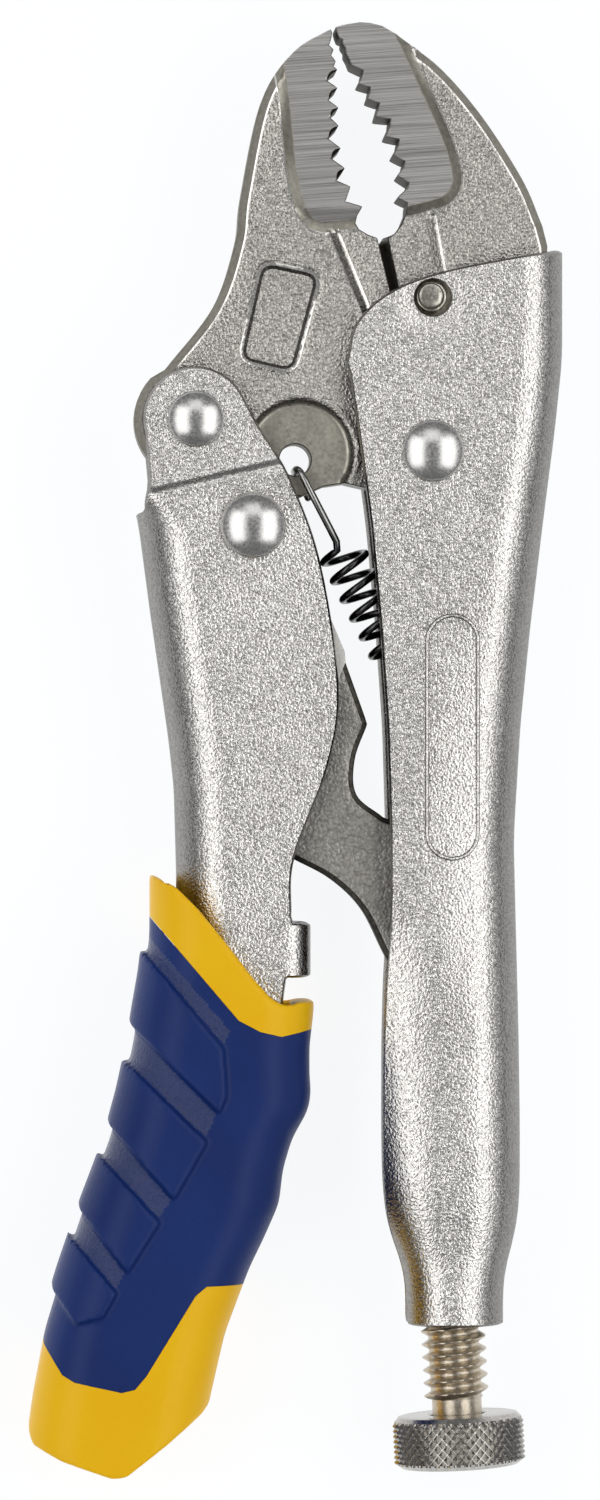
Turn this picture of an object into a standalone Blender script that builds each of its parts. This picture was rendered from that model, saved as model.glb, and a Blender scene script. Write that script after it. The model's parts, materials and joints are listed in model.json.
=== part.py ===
"""Small curved-jaw locking pliers, lying flat on one side, locked with the jaws nearly shut.

Sketches are in millimetres about the jaw pivot: x runs across the tool, y towards the jaw
tips and z through its thickness, with z = 0 on the middle plane. tool_frame then puts the
middle of the tool's outline on the origin and its lower side on the floor.
"""

from math import atan2, cos, hypot, pi, radians, sin, tan

import bmesh
import bpy
from mathutils import Matrix, Vector

MM = 0.001
GAP = 0.3

# Where the tool's outline is centred, and half its thickness
OUTLINE_CENTRE = (-13.3, -29.3)
HALF_THICKNESS = 9.2

# Pivots of the linkage
JAW_PIVOT = (0.0, 0.0)
LEVER_PIVOT = (-23.2, 3.1)
TOGGLE_PIVOT = (-17.6, -7.3)
LINK_NOSE = (0.7, -55.3)
RELEASE_PIVOT = (-20.5, -56.0)
STAKE = (0.0, 15.0)
SPRING_HOLE = (-13.4, -0.8)

# Sheet parts
SHEET = 1.5
CURL_LENGTH = 5.3
FRAME_HALF = 5.6
LEVER_HALF_TOP = 5.4
LEVER_HALF = 5.9

# Forged jaws
JAW_HALF = 3.8
POCKET_HALF = 3.3

# Toothed edges from the nose down, on each jaw, as tips and the gullets between them
FIXED_TEETH = (
    (-9.5, 41.6), (-9.35, 41.05), (-9.15, 40.5), (-8.8, 40.35), (-8.8, 39.95), (-8.5, 39.5),
    (-8.5, 39.05), (-8.2, 38.5), (-7.95, 37.85), (-6.8, 37.3), (-6.9, 36.75), (-7.3, 36.0),
    (-6.1, 35.65), (-6.15, 35.2), (-6.4, 34.5), (-5.2, 34.1), (-5.35, 33.55), (-5.6, 32.7),
    (-4.1, 32.55), (-4.15, 31.95), (-4.65, 30.85), (-3.25, 30.55), (-3.35, 29.95),
    (-3.9, 29.0), (-2.7, 28.4), (-2.8, 27.9), (-3.45, 27.05), (-2.3, 26.3), (-2.4, 25.85),
    (-3.5, 24.85), (-2.45, 24.35),
)
MOVABLE_TEETH = (
    (-9.8, 41.05), (-9.9, 40.4), (-10.1, 39.8), (-9.65, 39.35), (-9.9, 38.8), (-9.45, 38.2),
    (-9.65, 37.7), (-9.25, 37.4), (-9.9, 36.95), (-10.35, 36.35), (-9.25, 35.6),
    (-9.8, 35.05), (-10.15, 34.4), (-9.15, 33.65), (-9.7, 33.2), (-10.0, 32.7),
    (-9.15, 31.9), (-9.8, 31.2), (-10.2, 30.65), (-8.95, 29.7), (-9.9, 28.7),
    (-8.55, 27.75), (-9.4, 26.55), (-8.0, 25.95), (-8.5, 24.5), (-6.8, 24.0),
)

# Toggle link and release lever
LINK_HALF = 2.2
LINK_EYE = 3.6
LINK_NOSE_RADIUS = 2.2
RELEASE_INNER = 2.6
RELEASE_OUTER = 4.0

# Rivets and pins
JAW_RIVET = 2.3
LEVER_RIVET = 2.0
TOGGLE_RIVET = 2.0
RELEASE_PIN = 1.5
RUNNING = 0.2

# Adjusting screw, a quarter-inch twenty-turn thread
PITCH = 1.27
CREST = 3.175
ROOT = 2.49
SCREW_AT = (2.1, -83.2)
SCREW_TILT = radians(3.0)
NOSE_GAP = 1.3
KNOB_RADIUS = 6.55
KNOB_TOP = -94.6
KNOB_HEIGHT = 5.2

# Spring
WIRE = 0.36
COIL = 2.04
TURNS = 6

# Grip
GRIP_HALF = 8.5
PAD_RISE = 0.7
COVER = 1.1
COLLAR_HALF = 6.2

STEEL = ("satin_nickel", (0.56, 0.54, 0.51), 0.38, 1.0)
FORGED = ("forged_nickel", (0.50, 0.48, 0.44), 0.45, 1.0)
BRIGHT = ("bright_rivet", (0.72, 0.71, 0.69), 0.22, 1.0)
DARK = ("dark_steel", (0.16, 0.15, 0.13), 0.42, 1.0)
WARM = ("screw_steel", (0.55, 0.50, 0.42), 0.3, 1.0)
BLUE = ("blue_plastic", (0.035, 0.06, 0.22), 0.5, 0.0)
YELLOW = ("yellow_plastic", (0.85, 0.52, 0.02), 0.45, 0.0)


# ---------------------------------------------------------------- sketch helpers


def arc(centre, radius, start, end, steps=10):
    """Points on a circle from one angle to another, in degrees."""
    sweep = [radians(start + (end - start) * i / steps) for i in range(steps + 1)]
    return [(centre[0] + radius * cos(a), centre[1] + radius * sin(a)) for a in sweep]


def curve(points, steps=4):
    """A smooth line through the given points, in two or three dimensions."""
    knots = [Vector(p) for p in points]
    knots = [2 * knots[0] - knots[1], *knots, 2 * knots[-1] - knots[-2]]
    line = []
    for a, b, c, d in zip(knots, knots[1:], knots[2:], knots[3:]):
        for i in range(steps):
            t = i / steps
            line.append(
                0.5 * (2 * b + (c - a) * t + (2 * a - 5 * b + 4 * c - d) * t**2
                       + (3 * b - a - 3 * c + d) * t**3)
            )
    line.append(knots[-2])
    return [tuple(p) for p in line]


# ---------------------------------------------------------------- mesh helpers


def prism(outline, low, high):
    """A plate of the given outline between two heights."""
    bm = bmesh.new()
    add_prism(bm, outline, low, high)
    return bm


def add_prism(bm, outline, low, high):
    lower = [bm.verts.new((x, y, low)) for x, y in outline]
    upper = [bm.verts.new((x, y, high)) for x, y in outline]
    bm.faces.new(lower[::-1])
    bm.faces.new(upper)
    for i in range(len(outline)):
        j = (i + 1) % len(outline)
        bm.faces.new((lower[i], lower[j], upper[j], upper[i]))


def skin(rings):
    """A closed body through equal rings of points, with a flat face at each end."""
    bm = bmesh.new()
    rows = [[bm.verts.new(p) for p in ring] for ring in rings]
    for a, b in zip(rows, rows[1:]):
        for i in range(len(a)):
            j = (i + 1) % len(a)
            bm.faces.new((a[i], a[j], b[j], b[i]))
    bm.faces.new(rows[0][::-1])
    bm.faces.new(rows[-1])
    return bm


def turned(profile, centre=(0.0, 0.0), steps=28):
    """A round body about a z line through centre; profile rows are (radius, z)."""
    bm = bmesh.new()
    rows = []
    for radius, z in profile:
        if radius < 1e-6:
            rows.append([bm.verts.new((*centre, z))])
        else:
            ring = arc(centre, radius, 0, 360 * (steps - 1) / steps, steps - 1)
            rows.append([bm.verts.new((x, y, z)) for x, y in ring])
    for a, b in zip(rows, rows[1:]):
        for i in range(steps):
            j = (i + 1) % steps
            corners = [a[i % len(a)], a[j % len(a)], b[j % len(b)], b[i % len(b)]]
            bm.faces.new(list(dict.fromkeys(corners)))
    return bm


def wire(path, radius, sides=6):
    """A round wire along a path, square to it at each point."""
    points = [Vector(p) for p in path]
    rings = []
    side = Vector((0.0, 0.0, 1.0))
    for i, p in enumerate(points):
        ahead = (points[min(i + 1, len(points) - 1)] - points[max(i - 1, 0)]).normalized()
        side = (side - side.dot(ahead) * ahead).normalized()
        up = ahead.cross(side)
        turn = [2 * pi * k / sides for k in range(sides)]
        rings.append([p + radius * (cos(a) * side + sin(a) * up) for a in turn])
    return skin(rings)


def thread(root, crest, flat, flank, low, high, steps):
    """A threaded rod along z; flat and flank are shares of the pitch."""
    bm = bmesh.new()
    turns = range(int(low / PITCH) - 1, int(high / PITCH) + 2)
    form = ((0.0, root), (flank, crest), (flank + flat, crest), (2 * flank + flat, root))
    columns = []
    for i in range(steps):
        a = 2 * pi * i / steps
        column = []
        for turn in turns:
            for share, radius in form:
                z = PITCH * (turn + share + i / steps)
                if not low < z < high:
                    z = min(max(z, low), high)
                    radius = root
                column.append(bm.verts.new((radius * cos(a), radius * sin(a), z)))
        columns.append(column)
    for i, column in enumerate(columns):
        last = i + 1 == steps
        beside = columns[0][len(form):] if last else columns[i + 1]
        for a, b, c, d in zip(column, beside, beside[1:], column[1:]):
            bm.faces.new((a, b, c, d))
    bmesh.ops.remove_doubles(bm, verts=bm.verts, dist=1e-5)
    bmesh.ops.dissolve_degenerate(bm, edges=bm.edges, dist=1e-5)
    bmesh.ops.holes_fill(bm, edges=bm.edges, sides=0)
    return bm


def channel(stations, web_side):
    """A pressed channel along y. Its free edges face away from the web and may curl inwards.

    Each station is (y, free edge, web, half width, corner radius, curl in degrees, sheet).
    """
    curled = any(station[5] for station in stations)
    rings = []
    for y, edge, web, half, corner, curl, sheet in stations:
        edge, web = edge * web_side, web * web_side
        halves = []
        for shift in (sheet / 2, -sheet / 2):
            line = [(edge, half - sheet / 2 + shift)]
            if curled:
                line = curled_edge(edge, half - sheet / 2, max(curl, 0.5), sheet / 2, shift)
            radius = corner - sheet / 2 + shift
            line += arc((web - corner, half - corner), radius, 90, 0, 5)
            halves.append(line + [(x, -z) for x, z in line[::-1]])
        outer, inner = halves
        rings.append([(x * web_side, y, z) for x, z in outer + inner[::-1]])
    return skin(rings)


def curled_edge(edge, middle, curl, half_sheet, shift):
    """One side of a flange's last stretch, rolled through an angle; shift picks the side."""
    bend = radians(curl)
    roll = CURL_LENGTH / bend
    start = edge + (roll + half_sheet) * sin(bend)
    angles = [bend * (1 - i / 4) for i in range(5)]
    reach = roll + shift
    return [(start - reach * sin(a), middle - roll + reach * cos(a)) for a in angles]


# ---------------------------------------------------------------- objects


def material(finish):
    name, colour, roughness, metallic = finish
    made = bpy.data.materials.get(name)
    if made is None:
        made = bpy.data.materials.new(name)
        made.use_nodes = True
        shader = made.node_tree.nodes["Principled BSDF"]
        shader.inputs["Base Color"].default_value = (*colour, 1.0)
        shader.inputs["Roughness"].default_value = roughness
        shader.inputs["Metallic"].default_value = metallic
        made.diffuse_color = (*colour, 1.0)
    return made


class Axis:
    """An empty on a joint's axis, which carries the pieces that turn or slide with it."""

    def __init__(self, name, point, parent=None):
        self.point = Vector((point[0], point[1], 0.0))
        self.empty = bpy.data.objects.new(name, None)
        self.empty.empty_display_size = 4 * MM
        bpy.context.scene.collection.objects.link(self.empty)
        if parent is None:
            x, y = OUTLINE_CENTRE
            self.empty.location = Vector((-x, -y, HALF_THICKNESS)) * MM
        else:
            self.empty.parent = parent.empty
            self.empty.location = (self.point - parent.point) * MM

    def carry(self, name, bm, finish=None):
        """Make an object of a sketch and hang it on this axis."""
        bmesh.ops.recalc_face_normals(bm, faces=bm.faces)
        bmesh.ops.transform(bm, matrix=Matrix.Translation(-self.point), verts=bm.verts)
        bmesh.ops.scale(bm, vec=(MM, MM, MM), verts=bm.verts)
        mesh = bpy.data.meshes.new(name)
        bm.to_mesh(mesh)
        bm.free()
        made = bpy.data.objects.new(name, mesh)
        bpy.context.scene.collection.objects.link(made)
        made.parent = self.empty
        if finish is None:
            made.hide_render = True
            made.display_type = "WIRE"
        else:
            mesh.materials.append(material(finish))
        return made


def shape(piece, tool, operation="DIFFERENCE"):
    """Cut a piece with a tool object, join them or keep what they share."""
    change = piece.modifiers.new(tool.name, "BOOLEAN")
    change.operation = operation
    change.object = tool


def round_off(piece, width, angle=50, segments=2):
    edge = piece.modifiers.new("edge", "BEVEL")
    edge.width = width * MM
    edge.segments = segments
    edge.limit_method = "ANGLE"
    edge.angle_limit = radians(angle)


def smooth(piece, angle=35):
    piece.data.shade_smooth()
    piece.data.set_sharp_from_angle(angle=radians(angle))


def drill(axis, name, point, radius, reach=8.0, steps=28):
    """A round cutter through the tool's whole thickness."""
    profile = ((0, -reach), (radius, -reach), (radius, reach), (0, reach))
    return axis.carry(name, turned(profile, point, steps))


# ---------------------------------------------------------------- fixed side


def handle_top():
    """The upper edge of the fixed handle's flanges, from the lever's side to the web."""
    return curve(((-8.2, 9.2), (-7.3, 12.4), (-4.2, 15.3), (1.2, 17.4), (12.9, 19.6)), 5)


def fixed_handle(frame):
    stations = (
        (22.0, -9.0, 12.95, FRAME_HALF, 3.4, 0, SHEET),
        (9.8, -9.0, 12.95, FRAME_HALF, 3.4, 0, SHEET),
        (9.2, -8.2, 12.95, FRAME_HALF, 3.4, 0, SHEET),
        (2.0, -7.1, 12.2, FRAME_HALF, 3.4, 0, SHEET),
        (-6.8, -5.9, 11.1, FRAME_HALF, 3.5, 0, SHEET),
        (-17.0, -4.95, 9.9, FRAME_HALF, 3.6, 0, SHEET),
        (-27.0, -4.25, 8.9, FRAME_HALF, 3.7, 0, SHEET),
        (-38.0, -3.95, 8.25, FRAME_HALF, 3.8, 0, SHEET),
        (-46.0, -3.95, 8.45, FRAME_HALF, 4.0, 4, SHEET),
        (-52.0, -4.4, 8.6, FRAME_HALF, 4.3, 24, SHEET),
        (-58.0, -4.6, 8.75, 5.5, 4.6, 40, SHEET),
        (-66.0, -4.65, 8.85, 5.4, 4.8, 52, SHEET),
        (-73.0, -4.5, 8.85, 5.3, 4.9, 62, SHEET),
        (-76.2, -4.1, 8.5, 5.2, 4.9, 68, 1.6),
        (-78.4, -3.3, 7.95, 5.05, 4.85, 75, 1.9),
        (-80.4, -2.6, 7.4, 4.85, 4.8, 81, 2.3),
        (-82.0, -2.4, 7.2, 4.8, 4.8, 85, 2.45),
        (-85.6, -2.4, 7.2, 4.8, 4.8, 85, 2.45),
    )
    piece = frame.carry("fixed_handle", channel(stations, 1), STEEL)
    above = [*handle_top(), (16.0, 19.8), (16.0, 26.0), (-12.0, 26.0), (-12.0, 9.2)]
    shape(piece, frame.carry("above_handle", prism(above, -9, 9)))
    shape(piece, drill(frame, "jaw_rivet_hole", JAW_PIVOT, JAW_RIVET + RUNNING))
    shape(piece, drill(frame, "stake_hole", STAKE, 1.9))
    lug = [(-3.5, -25.7), (-1.3, -25.7), (-1.3, -24.5), (-3.5, -24.5)]
    shape(piece, frame.carry("spring_lug", prism(lug, 1.3 - FRAME_HALF - SHEET, 1.4)), "UNION")
    inside = thread(2.68, CREST + 0.15, 0.17, 0.293, 0.0, 11.43, 20)
    shape(piece, along_screw(frame, "neck_tap", inside, -88.0))
    smooth(piece)
    return piece


def along_screw(axis, name, bm, y, finish=None):
    """Stand a body drawn along +z on the screw's axis, with its foot at height y."""
    x = SCREW_AT[0] + (SCREW_AT[1] - y) * tan(SCREW_TILT)
    phase = Matrix.Rotation(2 * pi * (y / cos(SCREW_TILT)) / PITCH, 4, "Z")
    stand = Matrix.Rotation(SCREW_TILT, 4, "Z") @ Matrix.Rotation(-pi / 2, 4, "X")
    place = Matrix.Translation((x, y, 0.0)) @ stand @ phase
    bmesh.ops.transform(bm, matrix=place, verts=bm.verts)
    return axis.carry(name, bm, finish)


def fixed_jaw(frame):
    outline = [(-4.9, 41.7), (-6.1, 42.0), (-7.1, 42.05), (-8.3, 41.87), *FIXED_TEETH]
    outline += [(-2.6, 23.4), (-3.15, 22.3), (-3.85, 21.4), (-4.35, 20.8), (-3.3, 16.2)]
    outline += [(-2.7, 9.9)]
    outline += arc(JAW_PIVOT, 6.7, 104, 20, 8)
    outline += [(7.2, -1.0), (9.4, -1.0), (9.6, 19.3), (10.2, 20.4), (11.35, 20.4)]
    outline += curve(((10.9, 22.2), (8.9, 26.8), (4.9, 33.0), (0.7, 37.8), (-3.6, 40.95)), 3)
    piece = frame.carry("fixed_jaw", prism(outline, -JAW_HALF, JAW_HALF), FORGED)
    floor = curve(((-2.8, 39.6), (-0.4, 34.2), (1.5, 29.2), (2.2, 26.2), (1.4, 24.7)), 3)
    floor += [(-1.0, 23.8), (-7.0, 22.6), (-7.0, 15.0), (-3.2, 15.2)]
    floor += [(1.2, 17.0), (9.2, 18.9), (9.9, 22.0)]
    floor += curve(((9.0, 25.5), (5.2, 31.6), (0.6, 37.0)), 3)
    sink(frame, piece, floor)
    shape(piece, drill(frame, "stake_bore", STAKE, 1.2 + GAP, steps=20))
    return piece


def sink(axis, piece, floor):
    """Lower both faces of a jaw to its pocket floor, inside an outline."""
    bm = prism(floor, POCKET_HALF, 6.0)
    add_prism(bm, floor, -6.0, -POCKET_HALF)
    shape(piece, axis.carry(piece.name + "_pockets", bm))


def rivet(axis, name, centre, shank, inner, head, rise, finish=BRIGHT):
    """A rivet with a low domed head on each side; inner is where its heads sit."""
    seat = inner + 0.1
    dome = [(head * cos(radians(a)), seat + rise * (0.25 + 0.75 * sin(radians(a))))
            for a in (0, 22, 45, 68, 90)]
    side = [(head, seat), *dome]
    lower = [(r, -z) for r, z in side[::-1]]
    lower[0] = (0.0, lower[0][1])
    side[-1] = (0.0, side[-1][1])
    profile = [*lower, (shank, -seat), (shank, seat), *side]
    return smooth_piece(axis.carry(name, turned(profile, centre), finish))


def smooth_piece(piece):
    smooth(piece)
    return piece


def stake_rivet(frame):
    profile = ((0, -5.25), (1.2, -5.25), (1.2, -4.9), (1.6, -4.9), (1.6, -4.1), (1.2, -4.1))
    profile += tuple((r, -z) for r, z in profile[::-1])
    return smooth_piece(frame.carry("fixed_jaw_rivet", turned(profile, STAKE, 20), FORGED))


# ---------------------------------------------------------------- movable jaw


def movable_jaw(jaw):
    outline = curve(((-9.95, 41.4), (-13.6, 39.1), (-16.7, 34.4), (-18.7, 25.1), (-19.3, 20.4),
                     (-21.5, 14.1), (-26.2, 8.0)), 3)
    outline += arc(LEVER_PIVOT, 6.0, 137, 298, 12)
    outline += [(-18.6, -1.4), (-15.9, -3.4), (-12.8, -4.4), (-10.6, -3.4), (-8.6, -3.1)]
    outline += arc(JAW_PIVOT, 6.2, 220, 472, 18)
    outline += [(-3.6, 9.8), (-4.15, 16.0), (-5.4, 20.75), (-6.45, 21.4), (-7.1, 22.05)]
    outline += [(-7.35, 22.6), (-7.0, 23.5), *MOVABLE_TEETH[::-1]]
    piece = jaw.carry("movable_jaw", prism(outline, -JAW_HALF, JAW_HALF), FORGED)
    floor = curve(((-15.1, 36.3), (-14.5, 30.4), (-13.7, 26.0), (-12.4, 22.8)), 3)
    floor += [(-10.6, 22.0), (-5.0, 23.0), (-3.0, 19.0), (-1.0, 12.0)]
    floor += arc(JAW_PIVOT, 6.7, 100, 240, 8)
    floor += [(-6.0, -9.0), (-32.0, -9.0), (-32.0, 8.4), (-25.2, 8.4)]
    floor += curve(((-21.1, 13.8), (-18.8, 20.4), (-18.1, 25.3), (-16.3, 33.6)), 3)
    sink(jaw, piece, floor)
    shape(piece, drill(jaw, "jaw_eye_bore", JAW_PIVOT, JAW_RIVET + RUNNING))
    shape(piece, drill(jaw, "lever_rivet_bore", LEVER_PIVOT, LEVER_RIVET + RUNNING))
    shape(piece, drill(jaw, "spring_bore", SPRING_HOLE, 1.65, steps=20))
    return piece


# ---------------------------------------------------------------- lever side


def lever_handle(lever):
    stations = (
        (10.0, -8.0, -31.0, LEVER_HALF_TOP, 1.8, 0, SHEET),
        (-2.6, -8.0, -30.6, LEVER_HALF_TOP, 1.8, 0, SHEET),
        (-5.6, -8.0, -29.0, LEVER_HALF, 2.8, 0, SHEET),
        (-8.0, -8.0, -28.6, LEVER_HALF, 3.5, 0, SHEET),
        (-15.6, -8.0, -27.6, LEVER_HALF, 3.5, 0, SHEET),
        (-28.0, -8.0, -25.8, LEVER_HALF, 3.5, 0, SHEET),
        (-33.0, -8.0, -25.25, LEVER_HALF, 3.5, 0, SHEET),
        (-42.0, -8.0, -25.0, LEVER_HALF, 3.5, 0, SHEET),
        (-56.0, -8.0, -25.4, LEVER_HALF, 3.5, 0, SHEET),
        (-64.5, -8.0, -26.2, LEVER_HALF, 3.5, 0, SHEET),
    )
    piece = lever.carry("lever_handle", channel(stations, -1), STEEL)
    outline = arc(LEVER_PIVOT, 4.9, 30, 196, 12)
    outline += [(-27.5, -2.6), (-27.7, -5.4), (-28.6, -6.1), (-32.0, -6.3), (-32.0, -66.0)]
    outline += [(-18.0, -66.0), (-15.6, -60.0), (-14.9, -53.7), (-14.5, -51.4)]
    outline += curve(((-14.1, -45.3), (-13.8, -39.8), (-10.5, -30.8), (-9.45, -23.0),
                      (-11.3, -10.7), (-14.3, -2.6), (-17.4, 2.6)), 3)
    shape(piece, lever.carry("flange_outline", prism(outline, -9, 9)), "INTERSECT")
    for side in (1, -1):
        name = "near_tab" if side > 0 else "far_tab"
        shape(piece, lever.carry(name, curled_tab(side)), "UNION")
    shape(piece, drill(lever, "lever_rivet_hole", LEVER_PIVOT, LEVER_RIVET + RUNNING))
    shape(piece, drill(lever, "toggle_rivet_hole", TOGGLE_PIVOT, TOGGLE_RIVET + RUNNING))
    shape(piece, drill(lever, "release_pin_hole", RELEASE_PIVOT, RELEASE_PIN + RUNNING, steps=20))
    smooth(piece)
    return piece


def curled_tab(side):
    """A tab of the flange that bends inwards through most of a quarter turn."""
    centre = (-14.2, LEVER_HALF - 2.3)
    outer = arc(centre, 2.3, 90, 0, 5)
    inner = arc(centre, 2.3 - SHEET, 0, 90, 5)
    section = [(-15.2, LEVER_HALF), *outer, (-11.9, 2.2), (-13.4, 2.2), *inner]
    section.append((-15.2, LEVER_HALF - SHEET))
    rings = [[(x + shift, y, z * side) for x, z in section]
             for y, shift in ((-46.4, 0.0), (-51.2, -0.4))]
    return skin(rings)


def toggle_link(link):
    nose = Vector(LINK_NOSE)
    outline = arc(TOGGLE_PIVOT, LINK_EYE, 10, 195, 10)
    outline += [(-19.6, -22.0), (-17.2, -36.2), (-15.8, -38.7)]
    outline += curve(((-13.6, -40.0), (-9.9, -42.0), (-6.9, -44.9), (-4.7, -49.2)), 3)
    outline += [(-2.6, -53.2)]
    outline += arc(nose, LINK_NOSE_RADIUS, 200, 350, 9)
    outline += [(2.0, -47.0), (0.4, -40.5), (-2.0, -36.9)]
    outline += curve(((-4.7, -35.8), (-7.3, -33.6), (-7.45, -30.2), (-6.2, -26.7)), 3)
    outline += [(-8.35, -20.7), (-10.8, -14.0)]
    piece = link.carry("toggle_link", prism(outline, -LINK_HALF, LINK_HALF), DARK)
    round_off(piece, 0.4, 40, 1)
    eye = 4.1
    boss = ((0, -eye), (LINK_EYE - 0.2, -eye), (LINK_EYE - 0.2, eye), (0, eye))
    shape(piece, link.carry("eye_boss", turned(boss, TOGGLE_PIVOT)), "UNION")
    shape(piece, drill(link, "eye_bore", TOGGLE_PIVOT, TOGGLE_RIVET + RUNNING))
    return piece


def release_lever(release):
    """Two side arms that straddle the link, joined by a web whose top end is the nose."""
    arm = [(-10.9, -14.2), (-14.6, -17.2), (-19.2, -28.0), (-21.6, -38.0), (-22.4, -44.0)]
    arm += [(-23.0, -56.0), (-23.4, -64.0), (-31.2, -87.0), (-25.6, -88.0), (-19.0, -66.0)]
    arm += [(-17.2, -56.0), (-17.4, -44.0), (-15.4, -37.2), (-9.4, -22.8), (-8.5, -20.6)]
    arm += [(-8.6, -19.6)]
    bm = prism(arm, RELEASE_INNER, RELEASE_OUTER)
    add_prism(bm, arm, -RELEASE_OUTER, -RELEASE_INNER)
    piece = release.carry("release_lever", bm, DARK)
    web = [(-18.15, -35.6), (-20.6, -36.2), (-22.3, -44.2), (-22.9, -56.1), (-23.3, -64.2)]
    web += [(-31.0, -86.9), (-29.6, -87.1), (-21.8, -63.8), (-21.5, -55.9), (-20.9, -44.0)]
    web += [(-20.0, -39.6), (-18.15, -38.2)]
    shape(piece, release.carry("web", prism(web, -3.9, 3.9)), "UNION")
    shape(piece, drill(release, "pin_bore", RELEASE_PIVOT, RELEASE_PIN + RUNNING, steps=20))
    return piece


# ---------------------------------------------------------------- grip

# Height, lever side and handle side of the grip's outline, without its pads
GRIP_SIDES = (
    (-38.0, -27.6, -11.5), (-47.5, -27.6, -11.5), (-51.0, -28.0, -11.5), (-55.0, -28.7, -11.6),
    (-58.2, -29.2, -12.0), (-61.2, -29.85, -12.0), (-62.8, -30.2, -11.85), (-64.6, -30.7, -12.15),
    (-67.3, -31.4, -13.7), (-70.3, -32.5, -14.6), (-73.7, -33.8, -15.0), (-76.9, -34.9, -16.4),
    (-80.1, -36.0, -17.95), (-86.4, -37.9, -20.3), (-92.7, -39.1, -21.75),
    (-102.0, -40.4, -23.2),
)
GRIP_CORNER = 5.5


def grip_form(offset):
    """The grip's outer shape, grown or shrunk by an offset, before its ends are trimmed."""
    rings = []
    for y, left, right in GRIP_SIDES:
        left, right = left - offset, right + offset
        half = min(GRIP_HALF, 8.0 + 0.5 * (-38.0 - y) / 17.0) + offset
        corner = GRIP_CORNER + offset
        ring = []
        for x, z, start in (
            (right - corner, half - corner, 0),
            (left + corner, half - corner, 90),
            (left + corner, corner - half, 180),
            (right - corner, corner - half, 270),
        ):
            ring += arc((x, z), corner, start, start + 90, 4)
        rings.append([(x, y, z) for x, z in ring])
    return skin(rings)


def grip_outline():
    """The grip in side view: a slanting collar edge at the top and a blunt pointed end."""
    points = [(-29.0, -41.7), (-27.2, -41.6), (-25.2, -42.6), (-22.9, -44.9), (-20.3, -48.1)]
    points += [(-17.6, -51.6), (-15.9, -53.5), (-14.6, -54.2), (-12.6, -53.8), (-10.0, -53.8)]
    points += [(-10.0, -91.0), (-21.5, -92.8), (-22.6, -94.1), (-26.1, -97.0), (-30.1, -100.1)]
    points += [(-31.5, -100.2), (-36.4, -98.5), (-39.1, -97.1), (-39.7, -95.6), (-42.0, -94.6)]
    points += [(-42.0, -41.7)]
    return points


def cover_band(grow):
    """The stretch of the grip under the cover in side view."""
    points = [(-42.0, -31.4), (-27.8, -45.4), (-19.1, -55.6), (-17.0, -56.7), (-14.9, -57.2)]
    points += [(-12.0, -56.6), (-8.0, -56.0), (-8.0, -81.5), (-18.9, -81.5), (-22.2, -81.5)]
    points += [(-23.3, -82.4), (-28.1, -90.2), (-29.2, -91.5), (-30.5, -91.8), (-35.1, -90.8)]
    points += [(-36.3, -90.1), (-38.3, -86.9), (-42.0, -80.0)]
    return grown(points, grow)


def grown(points, amount):
    """Move every corner of an outline outwards, keeping its sides parallel."""
    moved = []
    count = len(points)
    turn = sum(a[0] * b[1] - b[0] * a[1] for a, b in zip(points, points[1:] + points[:1]))
    side = amount if turn > 0 else -amount
    for i in range(count):
        before, here, after = points[i - 1], points[i], points[(i + 1) % count]
        a = atan2(here[1] - before[1], here[0] - before[0])
        b = atan2(after[1] - here[1], after[0] - here[0])
        middle = a + ((b - a + pi) % (2 * pi) - pi) / 2
        reach = side / max(cos(middle - a), 0.3)
        moved.append((here[0] + reach * sin(middle), here[1] - reach * cos(middle)))
    return moved


def grip_core(release):
    piece = release.carry("grip_core", grip_form(0.0), YELLOW)
    shape(piece, release.carry("core_ends", prism(grip_outline(), -12, 12)), "INTERSECT")
    shell = release.carry("cover_room", prism(cover_band(GAP), -12, 12))
    shape(shell, release.carry("core_waist", grip_form(-COVER - GAP)))
    shape(piece, shell)
    pocket = [(-26.2, -36.0), (-26.3, -54.0), (-27.0, -65.6), (-17.4, -65.6), (-14.5, -60.0)]
    pocket += [(-13.4, -53.0), (-13.4, -36.0)]
    shape(piece, release.carry("lever_room", prism(pocket, -COLLAR_HALF, COLLAR_HALF)))
    slot = [(-23.9, -64.0), (-31.6, -87.2), (-30.2, -88.5), (-25.4, -88.4), (-18.6, -65.0)]
    shape(piece, release.carry("release_room", prism(slot, -4.3, 4.3)))
    return piece


PADS = (
    ((-33.0, -44.7), (-28.5, -48.9), (-20.6, -58.3), (-20.3, -62.9), (-21.0, -64.6),
     (-29.3, -56.4), (-33.0, -52.7)),
    ((-35.0, -56.0), (-30.1, -59.8), (-22.2, -67.4), (-25.4, -73.0), (-31.6, -66.0),
     (-35.0, -62.2)),
    ((-38.0, -64.4), (-32.8, -68.8), (-26.8, -75.2), (-29.9, -80.1), (-34.7, -74.0),
     (-38.0, -70.3)),
    ((-41.0, -72.2), (-35.6, -76.8), (-31.0, -82.1), (-32.3, -84.4), (-35.0, -85.1),
     (-37.3, -81.9), (-41.0, -77.6)),
)


def grip_cover(release):
    piece = release.carry("grip_cover", grip_form(0.0), BLUE)
    proud = release.carry("pads", grip_form(PAD_RISE))
    bm = bmesh.new()
    for pad in PADS:
        add_prism(bm, pad, -12, 12)
    shape(proud, release.carry("pad_outlines", bm), "INTERSECT")
    shape(piece, proud, "UNION")
    shape(piece, release.carry("cover_outline", prism(cover_band(0.0), -12, 12)), "INTERSECT")
    shape(piece, release.carry("cover_hollow", grip_form(-COVER)))
    return piece


# ---------------------------------------------------------------- screw and spring


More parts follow.
